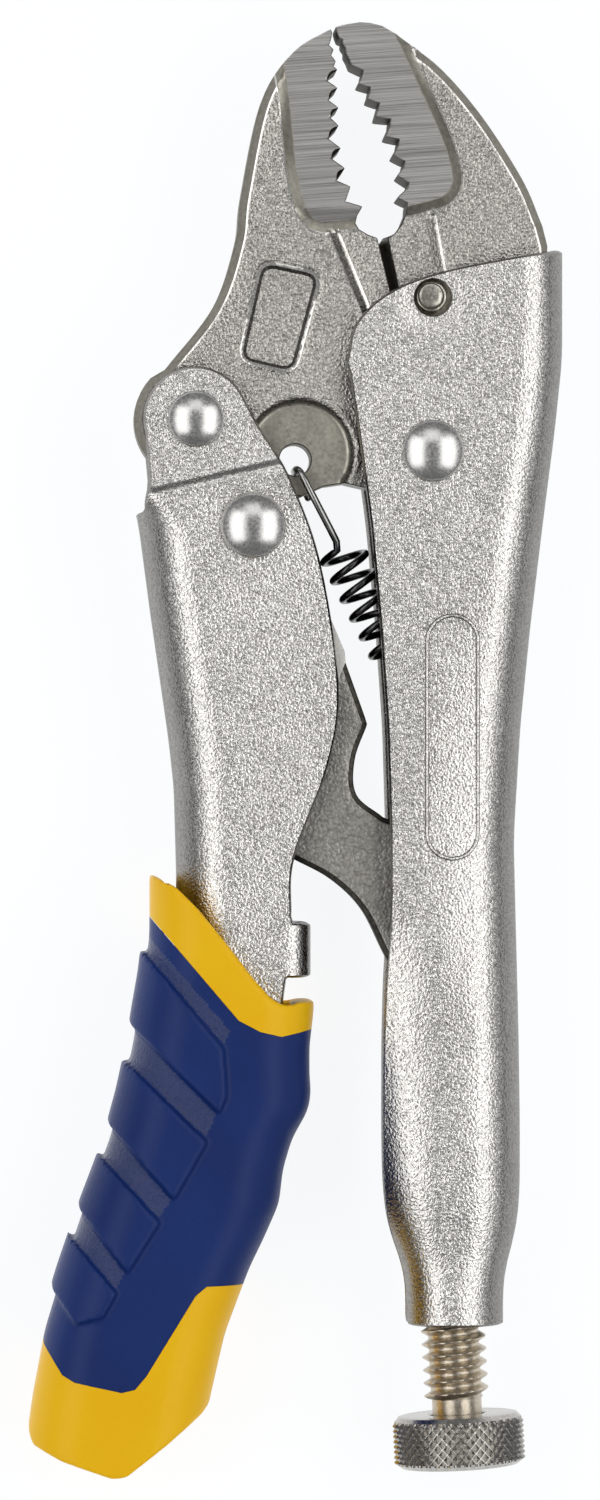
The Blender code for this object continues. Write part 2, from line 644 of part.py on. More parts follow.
def screw_parts(slide, spin):
    tip_y = LINK_NOSE[1] - LINK_NOSE_RADIUS - NOSE_GAP
    tip_length = 2.2
    top = -(tip_length + GAP)
    tip = ((0, -tip_length), (2.1, -tip_length), (2.1, -0.5), (1.7, 0), (0, 0))
    along_screw(slide, "screw_tip", turned(tip, steps=24), tip_y, FORGED).data.shade_flat()
    shank_foot = KNOB_TOP - 3.4
    thread_foot = KNOB_TOP + 1.6
    length = (tip_y + top - shank_foot) / cos(SCREW_TILT)
    run = (thread_foot - shank_foot) / cos(SCREW_TILT)
    rod = thread(ROOT, CREST, 0.125, 0.3125, run, length, 14)
    screw = along_screw(spin, "adjusting_screw", rod, shank_foot, WARM)
    plain = ((0, 0), (ROOT - 0.05, 0), (ROOT - 0.05, run + 0.5), (0, run + 0.5))
    shape(screw, along_screw(spin, "plain_end", turned(plain, steps=14), shank_foot), "UNION")
    along_screw(spin, "screw_knob", knob(), KNOB_TOP, WARM)


def knob():
    """A thumb wheel with a diamond knurl and a blind bore for the screw's plain end."""
    columns = 44
    rows = 7
    low, high = 0.75 - KNOB_HEIGHT, -0.75
    bore = ROOT + GAP
    profile = [(0, -KNOB_HEIGHT), (5.6, -KNOB_HEIGHT), (6.3, low - 0.2)]
    profile += [(KNOB_RADIUS, low + (high - low) * i / (rows - 1)) for i in range(rows)]
    profile += [(6.3, high + 0.2), (5.6, 0.0), (bore, 0.0), (bore, -3.8), (0, -3.8)]
    bm = turned(profile, steps=columns)
    for vert in bm.verts:
        radius = hypot(vert.co.x, vert.co.y)
        if radius > KNOB_RADIUS - 0.01:
            column = round(atan2(vert.co.y, vert.co.x) / (2 * pi / columns))
            row = round((vert.co.z - low) / (high - low) * (rows - 1))
            if (column + row) % 2:
                vert.co.xy *= 1 - 0.32 / KNOB_RADIUS
    return bm


def jaw_spring(frame):
    """An extension spring: a leg hooked through the jaw, six coils and a hook on the lug."""
    first = Vector((-8.7, -9.9, 0.4))
    last = Vector((-4.0, -19.1, 0.4))
    along = (last - first) / (TURNS - 1)
    across = Vector((-along.y, along.x, 0.0)).normalized()
    coils = []
    steps = 10
    for i in range((TURNS - 1) * steps + steps // 2 + 1):
        a = 2 * pi * i / steps
        out = COIL * (Vector((0, 0, 1)) * cos(a) - across * sin(a))
        coils.append(first + along * (i / steps - 0.25) + out)
    x, y = SPRING_HOLE
    leg = [(x - 0.9, y + 0.9, -4.5), (x - 0.2, y + 0.1, -4.55), (x + 0.25, y - 0.35, -4.0)]
    leg += [(x + 0.25, y - 0.45, 0.0), (x + 0.25, y - 0.45, 3.4), (x + 0.75, y - 1.3, 4.05)]
    leg += [(-11.6, -4.6, 4.05), (-10.2, -7.2, 3.3), (-9.35, -8.8, 2.7)]
    end = coils[-1]
    hook = [(-3.0, -22.2, -1.2), (-1.0, -23.6, 0.0), (-0.5, -25.1, 0.4), (-1.5, -26.4, 0.5)]
    hook += [(-3.2, -26.6, 0.6), (-4.4, -25.6, 0.7)]
    path = curve(leg, 2) + [tuple(p) for p in coils[1:-1]] + curve([tuple(end), *hook], 2)
    return smooth_piece(frame.carry("jaw_spring", wire(path, WIRE), DARK))


# ---------------------------------------------------------------- assembly


def build():
    for old in list(bpy.data.objects):
        bpy.data.objects.remove(old)
    frame = Axis("tool_frame", (0.0, 0.0))
    jaw = Axis("jaw_axis", JAW_PIVOT, frame)
    lever = Axis("lever_axis", LEVER_PIVOT, jaw)
    link = Axis("toggle_axis", TOGGLE_PIVOT, lever)
    release = Axis("release_axis", RELEASE_PIVOT, lever)
    slide = Axis("screw_slide_axis", SCREW_AT, frame)
    spin = Axis("screw_turn_axis", SCREW_AT, slide)

    fixed_handle(frame)
    fixed_jaw(frame)
    stake_rivet(frame)
    rivet(frame, "jaw_pivot_rivet", JAW_PIVOT, JAW_RIVET, FRAME_HALF, 2.95, 1.3)
    jaw_spring(frame)

    movable_jaw(jaw)
    rivet(jaw, "lever_rivet", LEVER_PIVOT, LEVER_RIVET, LEVER_HALF_TOP, 2.72, 1.3)

    lever_handle(lever)
    rivet(lever, "toggle_rivet", TOGGLE_PIVOT, TOGGLE_RIVET, LEVER_HALF, 3.15, 1.5)
    pin = ((0, -6.05), (RELEASE_PIN, -6.05), (RELEASE_PIN, 6.05), (0, 6.05))
    lever.carry("release_pin", turned(pin, RELEASE_PIVOT, 20), FORGED)

    toggle_link(link)
    release_lever(release)
    grip_core(release)
    grip_cover(release)
    screw_parts(slide, spin)


build()
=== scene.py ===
"""Looks for the locking pliers: forged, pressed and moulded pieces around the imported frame.

Sketches are in millimetres about the jaw pivot, x across the tool, y towards the jaw tips and
z through its thickness, as in the CAD. TO_ROW puts them in the row frame, in metres.
"""

import json
from math import atan2, cos, hypot, pi, radians, sin, sqrt

import bmesh
import bpy
import numpy as np
from mathutils import Matrix, Vector
from mathutils.geometry import delaunay_2d_cdt


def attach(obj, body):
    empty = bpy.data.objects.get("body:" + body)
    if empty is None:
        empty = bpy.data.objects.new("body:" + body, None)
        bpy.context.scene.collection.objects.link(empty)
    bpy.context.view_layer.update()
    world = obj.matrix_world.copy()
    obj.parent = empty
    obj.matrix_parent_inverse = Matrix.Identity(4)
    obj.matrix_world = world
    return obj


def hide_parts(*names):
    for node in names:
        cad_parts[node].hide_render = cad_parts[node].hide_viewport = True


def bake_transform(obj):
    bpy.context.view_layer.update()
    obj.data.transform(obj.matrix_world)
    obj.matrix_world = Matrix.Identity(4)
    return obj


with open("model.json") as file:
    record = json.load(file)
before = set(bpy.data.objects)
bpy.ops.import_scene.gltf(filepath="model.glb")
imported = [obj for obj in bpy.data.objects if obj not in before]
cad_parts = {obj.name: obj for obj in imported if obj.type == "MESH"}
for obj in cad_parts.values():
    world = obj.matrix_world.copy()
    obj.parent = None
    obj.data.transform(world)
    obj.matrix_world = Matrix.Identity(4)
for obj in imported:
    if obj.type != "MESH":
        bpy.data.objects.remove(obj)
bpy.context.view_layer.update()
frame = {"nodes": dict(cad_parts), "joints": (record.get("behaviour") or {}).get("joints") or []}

MM = 0.001
JOINTS = {j["name"]: j for j in frame["joints"]}
PIVOT = Vector(JOINTS["jaw_opening"]["pos_m"])
TO_ROW = Matrix.Translation(PIVOT) @ Matrix.Scale(MM, 4)

JAW_PIVOT = (0.0, 0.0)
LEVER_PIVOT = (-23.2, 3.1)
TOGGLE_PIVOT = (-17.6, -7.3)
STAKE = (0.0, 15.0)
SPRING_HOLE = (-13.4, -0.8)
FRAME_HALF = 5.6
SHEET = 1.5
THROUGH = 12.0
WELD = 2e-3


# ---------------------------------------------------------------- lines and outlines


def arc(centre, radius, start, end, steps=10):
    """Points round a circle, between two angles in degrees."""
    sweep = [radians(start + (end - start) * i / steps) for i in range(steps + 1)]
    return [(centre[0] + radius * cos(a), centre[1] + radius * sin(a)) for a in sweep]


def curve(points, steps=6):
    """A smooth line through the given points, in two or three dimensions."""
    knots = [Vector(p) for p in points]
    knots = [2 * knots[0] - knots[1], *knots, 2 * knots[-1] - knots[-2]]
    line = []
    for a, b, c, d in zip(knots, knots[1:], knots[2:], knots[3:]):
        for i in range(steps):
            t = i / steps
            line.append(
                0.5 * (2 * b + (c - a) * t + (2 * a - 5 * b + 4 * c - d) * t**2
                       + (3 * b - a - 3 * c + d) * t**3)
            )
    line.append(knots[-2])
    return [tuple(p) for p in line]


def resample(line, step, closed):
    """Split the long stretches of a line so that none is longer than step."""
    ends = zip(line, line[1:] + line[:1] if closed else line[1:])
    made = []
    for a, b in ends:
        count = max(1, round(hypot(b[0] - a[0], b[1] - a[1]) / step))
        made += [(a[0] + (b[0] - a[0]) * i / count, a[1] + (b[1] - a[1]) * i / count)
                 for i in range(count)]
    return made if closed else made + [line[-1]]


def smoothstep(low, high, value):
    """0 at low and 1 at high, with an eased rise between them."""
    t = np.clip((value - low) / (high - low), 0, 1)
    return t * t * (3 - 2 * t)


def distance(points, line, closed=False):
    """How far each point is from a line."""
    line = np.array(line, float)
    ends = np.roll(line, -1, axis=0) if closed else line[1:]
    starts = line if closed else line[:-1]
    nearest = np.full(len(points), 1e9)
    for a, b in zip(starts, ends):
        along = b - a
        share = np.clip((points - a) @ along / max(along @ along, 1e-12), 0, 1)
        nearest = np.minimum(nearest, np.hypot(*(points - a - share[:, None] * along).T))
    return nearest


def inside(points, loop):
    """Which points lie inside a closed outline."""
    loop = np.array(loop, float)
    found = np.zeros(len(points), bool)
    for (ax, ay), (bx, by) in zip(loop, np.roll(loop, -1, axis=0)):
        if ay != by:
            crosses = (ay > points[:, 1]) != (by > points[:, 1])
            found ^= crosses & (points[:, 0] < (bx - ax) * (points[:, 1] - ay) / (by - ay) + ax)
    return found


def signed(points, loop):
    """Distance to a closed outline, negative inside it."""
    away = distance(points, loop, closed=True)
    return np.where(inside(points, loop), -away, away)


# ---------------------------------------------------------------- meshes


def region(outline, step, holes=(), creases=()):
    """Fill an outline with small triangles whose edges follow its creases.

    Returns the points, the triangles, and the edges of its border with the triangles on
    their left.
    """
    fixed = []
    edges = []
    lines = [(outline, True), *((hole, True) for hole in holes)]
    lines += [(crease, False) for crease in creases]
    for line, closed in lines:
        line = resample(line, step, closed)
        first = len(fixed)
        fixed += line
        edges += [(first + i, first + i + 1) for i in range(len(line) - 1)]
        if closed:
            edges.append((len(fixed) - 1, first))
    low, high = np.min(fixed, axis=0), np.max(fixed, axis=0)
    xs, ys = np.arange(low[0], high[0], step), np.arange(low[1], high[1], step)
    grid = np.array([(x + 0.5 * step * (j % 2), y) for j, y in enumerate(ys) for x in xs])
    keep = signed(grid, outline) < -0.5 * step
    for hole in holes:
        keep &= signed(grid, hole) > 0.5 * step
    for crease in creases:
        keep &= distance(grid, crease) > 0.5 * step
    cloud = [Vector(p) for p in fixed + grid[keep].tolist()]
    points, _, faces = delaunay_2d_cdt(cloud, edges, [], 0, 1e-5)[:3]
    points = np.array(points, float)
    triangles = np.array([f for f in faces if len(f) == 3])
    middle = points[triangles].mean(axis=1)
    a, b, c = points[triangles].transpose(1, 0, 2)
    area = (b - a)[:, 0] * (c - a)[:, 1] - (b - a)[:, 1] * (c - a)[:, 0]
    keep = inside(middle, outline) & (np.abs(area) > 1e-7)
    for hole in holes:
        keep &= ~inside(middle, hole)
    triangles = np.where(area[:, None] < 0, triangles[:, ::-1], triangles)[keep]
    ring = {}
    for t in triangles.tolist():
        for i in range(3):
            ring[t[i], t[(i + 1) % 3]] = True
    border = [e for e in ring if (e[1], e[0]) not in ring]
    return points, triangles, border


def outward(points, border, seam):
    """Unit directions out of a region at its border points, straight along y on its seam."""
    total = {}
    for a, b in border:
        if a in seam and b in seam:
            continue
        d = points[b] - points[a]
        n = np.array((d[1], -d[0])) / max(np.hypot(*d), 1e-9)
        for v in (a, b):
            total[v] = total.get(v, 0) + n
    for v, n in total.items():
        if v in seam:
            n = np.array((0.0, n[1]))
        total[v] = n / max(np.hypot(*n), 1e-9)
    return total


def solid(name, area, place, rim, seam=None, back_look=0):
    """A closed body over a region: a front, a back and a rounded or bevelled rim.

    place(points, base, side, drop) gives the 3-D points at a depth below the surface over
    base; rim rows are (outwards, drop). With a seam the body is mirrored in the z plane, and
    its back faces, which are then its inside, take the material slot back_look.
    """
    points, triangles, border = area
    on_seam = set(np.flatnonzero(seam(points)).tolist()) if seam else set()
    used = np.unique(triangles)
    index = {v: i for i, v in enumerate(used.tolist())}
    flat = points[used]
    front = place(flat, flat, 1, 0.0)
    back = place(flat, flat, -1, 0.0)
    count = len(used)
    coords = [front, back]
    faces = [[index[v] for v in t] for t in triangles.tolist()]
    faces += [[index[v] + count for v in t[::-1]] for t in triangles.tolist()]
    ways = outward(points, border, on_seam)
    rows = sorted(ways)
    where = {v: i for i, v in enumerate(rows)}
    base = points[rows]
    push = np.array([ways[v] for v in rows])
    rings = [[index[v] for v in rows]]
    total = 2 * count
    for side, profile in ((1, rim), (-1, rim[::-1])):
        for out, drop in profile:
            coords.append(place(base + push * out, base, side, drop))
            rings.append(list(range(total, total + len(rows))))
            total += len(rows)
    rings.append([index[v] + count for v in rows])
    for upper, lower in zip(rings, rings[1:]):
        for a, b in border:
            if not (a in on_seam and b in on_seam):
                faces.append([upper[where[a]], lower[where[a]], lower[where[b]], upper[where[b]]])
    coords = np.concatenate(coords)
    mesh = bpy.data.meshes.new(name)
    mesh.from_pydata(coords.tolist(), [], faces)
    mesh.polygons.foreach_set("material_index", [
        back_look if len(triangles) <= i < 2 * len(triangles) else 0 for i in range(len(faces))
    ])
    bm = bmesh.new()
    bm.from_mesh(mesh)
    if seam:
        whole = bm.verts[:] + bm.edges[:] + bm.faces[:]
        copy = bmesh.ops.duplicate(bm, geom=whole)["geom"]
        across = [v for v in copy if isinstance(v, bmesh.types.BMVert)]
        for v in across:
            v.co.z = -v.co.z
        bmesh.ops.reverse_faces(bm, faces=[f for f in copy if isinstance(f, bmesh.types.BMFace)])
        bmesh.ops.remove_doubles(bm, verts=bm.verts, dist=WELD)
    return bm


def skin(rings, closed=False, onto=None):
    """A solid through equal rings of points, with end caps unless the rings close on each other."""
    bm = bmesh.new() if onto is None else onto
    rows = [[bm.verts.new(p) for p in ring] for ring in rings]
    for a, b in zip(rows, rows[1:] + rows[:1] if closed else rows[1:]):
        for i in range(len(a)):
            j = (i + 1) % len(a)
            bm.faces.new((a[i], a[j], b[j], b[i]))
    if not closed:
        bm.faces.new(rows[0][::-1])
        bm.faces.new(rows[-1])
    return bm


def turned(profile, steps=72):
    """A round body about the z line; profile rows are (radius, z)."""
    bm = bmesh.new()
    rows = []
    for radius, z in profile:
        if radius < 1e-6:
            rows.append([bm.verts.new((0.0, 0.0, z))])
        else:
            ring = arc((0, 0), radius, 0, 360 * (steps - 1) / steps, steps - 1)
            rows.append([bm.verts.new((x, y, z)) for x, y in ring])
    for a, b in zip(rows, rows[1:]):
        for i in range(steps):
            j = (i + 1) % steps
            corners = [a[i % len(a)], a[j % len(a)], b[j % len(b)], b[i % len(b)]]
            bm.faces.new(list(dict.fromkeys(corners)))
    return bm


def wire(path, radius, sides=12):
    """A round wire along a path, with rounded ends."""
    points = [Vector(p) for p in path]
    rings = []
    side = Vector((0.0, 0.0, 1.0))
    last = len(points) - 1
    for i, p in enumerate(points):
        ahead = (points[min(i + 1, last)] - points[max(i - 1, 0)]).normalized()
        side = (side - side.dot(ahead) * ahead).normalized()
        up = ahead.cross(side)
        size = radius * (0.6 if i in (0, last) else 1.0)
        turn = [2 * pi * k / sides for k in range(sides)]
        rings.append([p + size * (cos(a) * side + sin(a) * up) for a in turn])
    return skin(rings)


def prism(outline, half=THROUGH, onto=None):
    """An outline carried straight through the tool."""
    return skin([[(x, y, z) for x, y in outline] for z in (-half, half)], onto=onto)


def piece(name, bm, materials, body, stands_for=(), angle=38, place=None):
    """Finish a sketched body as a piece of the object, riding on a CAD body."""
    made = bare(name, bm, materials, place)
    made.data.shade_smooth()
    made.data.set_sharp_from_angle(angle=radians(angle))
    if body:
        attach(made, body)
    if stands_for:
        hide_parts(*stands_for)
    return made


def bare(name, bm, materials=(), place=None):
    """A sketched body as an object in the row frame, in metres."""
    bmesh.ops.recalc_face_normals(bm, faces=bm.faces)
    bmesh.ops.transform(bm, matrix=TO_ROW @ (place or Matrix()), verts=bm.verts)
    mesh = bpy.data.meshes.new(name)
    bm.to_mesh(mesh)
    bm.free()
    for material in materials:
        mesh.materials.append(material)
    return linked(name, mesh)


def linked(name, data):
    """A new object in the scene."""
    made = bpy.data.objects.new(name, data)
    bpy.context.scene.collection.objects.link(made)
    return made


def rod(name, centre, radius, half, material):
    """A plain round bar through the tool, to cut or join with."""
    bm = turned(((0, -half), (radius, -half), (radius, half), (0, half)))
    return bare(name, bm, (material,), Matrix.Translation((*centre, 0.0)))


def combined(base, steps, voxel=None, relax=0):
    """Cut, join or trim a body with others, then soften its edges; the tools are removed."""
    for operation, tool in steps:
        change = base.modifiers.new(tool.name, "BOOLEAN")
        change.operation = operation
        change.solver = "EXACT"
        change.object = tool
    if voxel:
        remesh = base.modifiers.new("remesh", "REMESH")
        remesh.mode = "VOXEL"
        remesh.voxel_size = voxel * MM
    if relax:
        ease = base.modifiers.new("ease", "SMOOTH")
        ease.factor = 0.5
        ease.iterations = relax
    graph = bpy.context.evaluated_depsgraph_get()
    mesh = bpy.data.meshes.new_from_object(base.evaluated_get(graph))
    base.modifiers.clear()
    base.data = mesh
    for _, tool in steps:
        bpy.data.objects.remove(tool)
    return base


# ---------------------------------------------------------------- materials


class Paint:
    """A node material whose patterns are laid out in millimetres."""

    def __init__(self, name, colour, roughness, metallic):
        self.material = bpy.data.materials.new(name)
        self.material.use_nodes = True
        self.tree = self.material.node_tree
        self.shader = self.tree.nodes["Principled BSDF"]
        self.shader.inputs["Base Color"].default_value = (*colour, 1.0)
        self.shader.inputs["Roughness"].default_value = roughness
        self.shader.inputs["Metallic"].default_value = metallic
        self.frame = self.add("ShaderNodeTexCoord")
        self.millimetres = self.mapping((1 / MM, 1 / MM, 1 / MM))

    def add(self, kind, **values):
        """A new node with its inputs fed and its other settings made."""
        node = self.tree.nodes.new(kind)
        for key, value in values.items():
            if key in node.inputs:
                self.feed(node.inputs[key], value)
            else:
                setattr(node, key, value)
        return node

    def feed(self, socket, value):
        if isinstance(value, bpy.types.NodeSocket):
            self.tree.links.new(value, socket)
        elif value is not None:
            socket.default_value = value

    def mapping(self, scale, turn=0.0):
        place = self.frame.outputs["Object"]
        if turn:
            tilt = self.add("ShaderNodeMapping", Vector=place, Rotation=(0.0, 0.0, turn))
            place = tilt.outputs[0]
        return self.add("ShaderNodeMapping", Vector=place, Scale=scale).outputs[0]

    def noise(self, scale, detail=2.0, roughness=0.5, where=None):
        return self.add("ShaderNodeTexNoise", Vector=where or self.millimetres, Scale=scale,
                        Detail=detail, Roughness=roughness).outputs[0]

    def cells(self, scale):
        return self.add("ShaderNodeTexVoronoi", feature="SMOOTH_F1", Vector=self.millimetres,
                        Scale=scale, Smoothness=0.6).outputs["Distance"]

    def facing(self):
        """1 where the surface faces out of the tool's side, 0 on its edges."""
        parts = self.add("ShaderNodeSeparateXYZ", Vector=self.frame.outputs["Normal"])
        return self.math("ABSOLUTE", parts.outputs["Z"])

    def math(self, operation, a, b=0.0):
        node = self.add("ShaderNodeMath", operation=operation)
        self.feed(node.inputs[0], a)
        self.feed(node.inputs[1], b)
        return node.outputs[0]

    def span(self, value, low, high, to_low, to_high):
        """Stretch a value's range onto another."""
        ends = {"From Min": low, "From Max": high, "To Min": to_low, "To Max": to_high}
        return self.add("ShaderNodeMapRange", Value=value, **ends).outputs[0]

    def blend(self, share, first, second):
        node = self.add("ShaderNodeMix", data_type="RGBA")
        self.feed(node.inputs[0], share)
        for socket, colour in ((node.inputs[6], first), (node.inputs[7], second)):
            self.feed(socket, (*colour, 1.0) if isinstance(colour, tuple) else colour)
        return node.outputs[2]

    def bump(self, height, depth_mm, strength=1.0, onto=None):
        return self.add("ShaderNodeBump", Strength=strength, Distance=depth_mm * MM, Height=height,
                        Normal=onto).outputs[0]

    def use(self, **values):
        for key, value in values.items():
            self.feed(self.shader.inputs[key.replace("_", " ")], value)
        return self.material


def blasted(name, light, dark, roughness, grain=3.4, depth=0.07, edge=0.45):
    """Nickel plate over a blasted or forged surface: small soft pebbles and painted shade on its
    edges.
    """
    paint = Paint(name, light, roughness, 1.0)
    pebble = paint.math("ADD", paint.math("MULTIPLY", paint.noise(grain, 1.5, 0.5), 1.2),
                        paint.math("MULTIPLY", paint.cells(grain * 0.8), -0.5))
    swell = paint.noise(0.16, 1.0, 0.5)
    facing = paint.facing()
    tone = paint.span(pebble, 0.1, 0.55, 0.0, 1.0)
    tone = paint.math("ADD", tone, paint.span(paint.noise(0.11, 2.0, 0.5), 0.3, 0.7, -0.1, 0.1))
    colour = paint.blend(tone, dark, light)
    # Painted shade: the colour darkens where the surface tilts away from the tool's side, as if its
    # edges lay in shade; edge sets how dark.
    shade = paint.math("ADD", paint.span(facing, 0.75, 0.93, -1.4 * edge, 0.0),
                       paint.span(facing, 0.3, 0.6, 1.0 + 0.4 * edge, 1.0))
    colour = paint.blend(shade, (0.0, 0.0, 0.0), colour)
    paint.shader.inputs["Specular Tint"].default_value = (0.6, 0.6, 0.6, 1.0)
    rough = paint.span(paint.noise(grain * 1.7, 2.0), 0.3, 0.7, roughness - 0.05, roughness + 0.07)
    relief = paint.math("MULTIPLY", pebble, paint.span(facing, 0.2, 0.8, 0.2, 1.0))
    normal = paint.bump(relief, depth, onto=paint.bump(swell, 0.25))
    return paint.use(Base_Color=colour, Roughness=rough, Normal=normal)


def ground(name, light, dark, turn):
    """Steel ground flat: fine straight streaks of unequal depth."""
    paint = Paint(name, light, 0.36, 1.0)
    fine = paint.noise(1.0, 3.0, 0.7, paint.mapping((70, 9000, 90), turn))
    wide = paint.noise(1.0, 2.0, 0.6, paint.mapping((45, 5600, 60), turn))
    streak = paint.math("ADD", paint.math("MULTIPLY", fine, 0.6), paint.math("MULTIPLY", wide, 0.4))
    tone = paint.span(streak, 0.36, 0.64, 0.0, 1.0)
    return paint.use(Base_Color=paint.blend(tone, dark, light),
                     Roughness=paint.span(streak, 0.35, 0.65, 0.5, 0.36),
                     Normal=paint.bump(streak, 0.035, 0.8))


def plated(name, light, dark, roughness, wave=0.5, depth=0.02):
    """Smooth plated steel with faint waves and handling marks."""
    paint = Paint(name, light, roughness, 1.0)
    swell = paint.noise(wave, 2.0, 0.5)
    marks = paint.noise(3.5, 4.0, 0.65)
    return paint.use(
        Base_Color=paint.blend(paint.span(marks, 0.35, 0.65, 0.0, 1.0), dark, light),
        Roughness=paint.span(marks, 0.3, 0.7, roughness - 0.03, roughness + 0.08),
        Normal=paint.bump(marks, depth * 0.4, 0.5, paint.bump(swell, depth)),
    )


def spring_finish(name):
    """Black oiled wire, painted light grey along its straight leg as a painted sheen."""
    paint = Paint(name, (0.1, 0.1, 0.1), 0.2, 1.0)
    parts = paint.add("ShaderNodeSeparateXYZ", Vector=paint.millimetres)
    low, high = (PIVOT.y / MM - down for down in (9.4, 7.6))
    # Painted sheen: the colour turns from black to light grey along the straight leg.
    leg_sheen = paint.span(parts.outputs["Y"], low, high, 0.0, 1.0)
    marks = paint.noise(3.0, 3.0, 0.6)
    tone = paint.span(marks, 0.35, 0.65, 0.0, 1.0)
    black = paint.blend(tone, (0.05, 0.05, 0.05), (0.1, 0.1, 0.1))
    grey = paint.blend(tone, (0.3, 0.3, 0.29), (0.42, 0.42, 0.41))
    return paint.use(Base_Color=paint.blend(leg_sheen, black, grey),
                     Roughness=paint.span(marks, 0.3, 0.7, 0.17, 0.27),
                     Normal=paint.bump(marks, 0.01))


def moulded(name, light, dark, roughness, grain, depth, gloss=0.3):
    """Moulded plastic: a fine spark-eroded grain with a slow change of tone."""
    paint = Paint(name, light, roughness, 0.0)
    skin_grain = paint.math("ADD", paint.noise(grain, 3.0, 0.6),
                            paint.math("MULTIPLY", paint.cells(grain * 0.8), 0.4))
    cloud = paint.noise(0.09, 2.0, 0.5)
    tone = paint.math("ADD", paint.span(cloud, 0.35, 0.65, 0.15, 0.85),
                      paint.span(skin_grain, 0.5, 0.95, -0.15, 0.15))
    rough = paint.span(skin_grain, 0.5, 0.95, roughness - 0.05, roughness + 0.06)
    paint.shader.inputs["Specular IOR Level"].default_value = gloss
    return paint.use(Base_Color=paint.blend(tone, dark, light), Roughness=rough,
                     Normal=paint.bump(skin_grain, depth))


NICKEL = blasted("satin_nickel_blasted", (0.88, 0.86, 0.825), (0.58, 0.56, 0.53), 0.26, 4.3, 0.08)
# Painted shade: the inside faces of the pressed channels take a dark nickel that stands in for the
# shade inside them.
SHADED_INSIDE = blasted("shaded_nickel_inside", (0.26, 0.25, 0.23), (0.15, 0.145, 0.13), 0.45, 3.4, 0.05)
FORGED = blasted("forged_nickel_blasted", (0.62, 0.60, 0.56), (0.31, 0.295, 0.27), 0.3, 4.2, 0.095)
SMOOTH_FORGED = blasted("forged_nickel_smooth", (0.50, 0.475, 0.41), (0.40, 0.375, 0.32), 0.4, 2.2,
                        0.012, 0.3)
# Painted highlight: a light nickel laid on bands along the jaws' rims, trough lips and label
# shoulder.
FORGED_HIGHLIGHT = blasted("forged_edge_painted_highlight", (0.86, 0.84, 0.80), (0.72, 0.70, 0.66), 0.26, 3.4, 0.02, 0.2)
# Partly a sawn finish, partly painted shade: a dark brown nickel for the tooth walls along the jaw
# gap and the cut-back flanks in the gullets.
SAWN_AND_SHADED = blasted("sawn_edge_and_painted_shade", (0.22, 0.20, 0.16), (0.12, 0.11, 0.09), 0.45, 2.6, 0.03, 0.5)
STAKE_METAL = blasted("staked_nickel", (0.62, 0.59, 0.53), (0.44, 0.415, 0.36), 0.3, 2.4, 0.02, 0.3)
GROUND = ground("ground_steel", (0.73, 0.715, 0.69), (0.22, 0.21, 0.20), radians(-4))
BRIGHT = plated("bright_nickel", (0.80, 0.79, 0.77), (0.60, 0.59, 0.57), 0.25)
LINK = blasted("matte_nickel", (0.46, 0.445, 0.41), (0.29, 0.28, 0.255), 0.42, 3.4, 0.05)
LINK_EDGE = blasted("matte_nickel_edge", (0.07, 0.066, 0.055), (0.035, 0.033, 0.028), 0.4, 2.6,
                    0.02, 0.5)
ZINC = plated("pale_zinc", (0.93, 0.91, 0.86), (0.82, 0.80, 0.75), 0.42)
OILED = spring_finish("oiled_spring_wire")
SCREW = plated("warm_nickel", (0.66, 0.59, 0.49), (0.46, 0.40, 0.31), 0.3, 1.2, 0.02)
KNURL = plated("knurled_steel", (0.56, 0.54, 0.51), (0.36, 0.345, 0.32), 0.2, 1.2, 0.02)
BLUE = moulded("blue_soft_plastic", (0.007, 0.031, 0.175), (0.004, 0.022, 0.135), 0.46, 4.0, 0.012,
               0.25)
BLUE_GRAIN = moulded("blue_grained_plastic", (0.02, 0.04, 0.165), (0.011, 0.026, 0.12), 0.34,
                     3.6, 0.13, 0.5)
YELLOW = moulded("yellow_hard_plastic", (1.0, 0.585, 0.006), (0.98, 0.535, 0.004), 0.42, 3.0, 0.006,
                 0.2)


# ---------------------------------------------------------------- forged jaws

FIXED_TEETH = [
    (-9.5, 41.6), (-9.35, 41.05), (-9.15, 40.5), (-8.8, 40.35), (-8.8, 39.95), (-8.5, 39.5),
    (-8.5, 39.05), (-8.2, 38.5), (-7.95, 37.85), (-6.8, 37.3), (-6.9, 36.75), (-7.3, 36.0),
    (-6.1, 35.65), (-6.15, 35.2), (-6.4, 34.5), (-5.2, 34.1), (-5.35, 33.55), (-5.6, 32.7),
    (-4.1, 32.55), (-4.15, 31.95), (-4.65, 30.85), (-3.25, 30.55), (-3.35, 29.95),
    (-3.9, 29.0), (-2.7, 28.4), (-2.8, 27.9), (-3.45, 27.05), (-2.3, 26.3), (-2.4, 25.85),
    (-3.5, 24.85), (-2.45, 24.35),
]
MOVABLE_TEETH = [
    (-9.8, 41.05), (-9.9, 40.4), (-10.1, 39.8), (-9.65, 39.35), (-9.9, 38.8), (-9.45, 38.2),
    (-9.65, 37.7), (-9.25, 37.4), (-9.9, 36.95), (-10.35, 36.35), (-9.25, 35.6),
    (-9.8, 35.05), (-10.15, 34.4), (-9.15, 33.65), (-9.7, 33.2), (-10.0, 32.7),
    (-9.15, 31.9), (-9.8, 31.2), (-10.2, 30.65), (-8.95, 29.7), (-9.9, 28.7),
    (-8.55, 27.75), (-9.4, 26.55), (-8.0, 25.95), (-8.5, 24.5), (-6.8, 24.0),
]
# The round notch behind each jaw's teeth and its side of the saw cut, away from the teeth
FIXED_SAWN = [
    (-2.55, 23.4), (-3.0, 22.3), (-3.6, 21.45), (-4.35, 20.95), (-3.3, 16.2), (-2.7, 9.9),
]
MOVABLE_SAWN = [
    (-7.0, 23.7), (-7.35, 23.1), (-7.5, 22.4), (-7.15, 21.8), (-6.3, 21.3), (-5.35, 20.95),
    (-4.15, 16.0), (-3.6, 9.8),
]
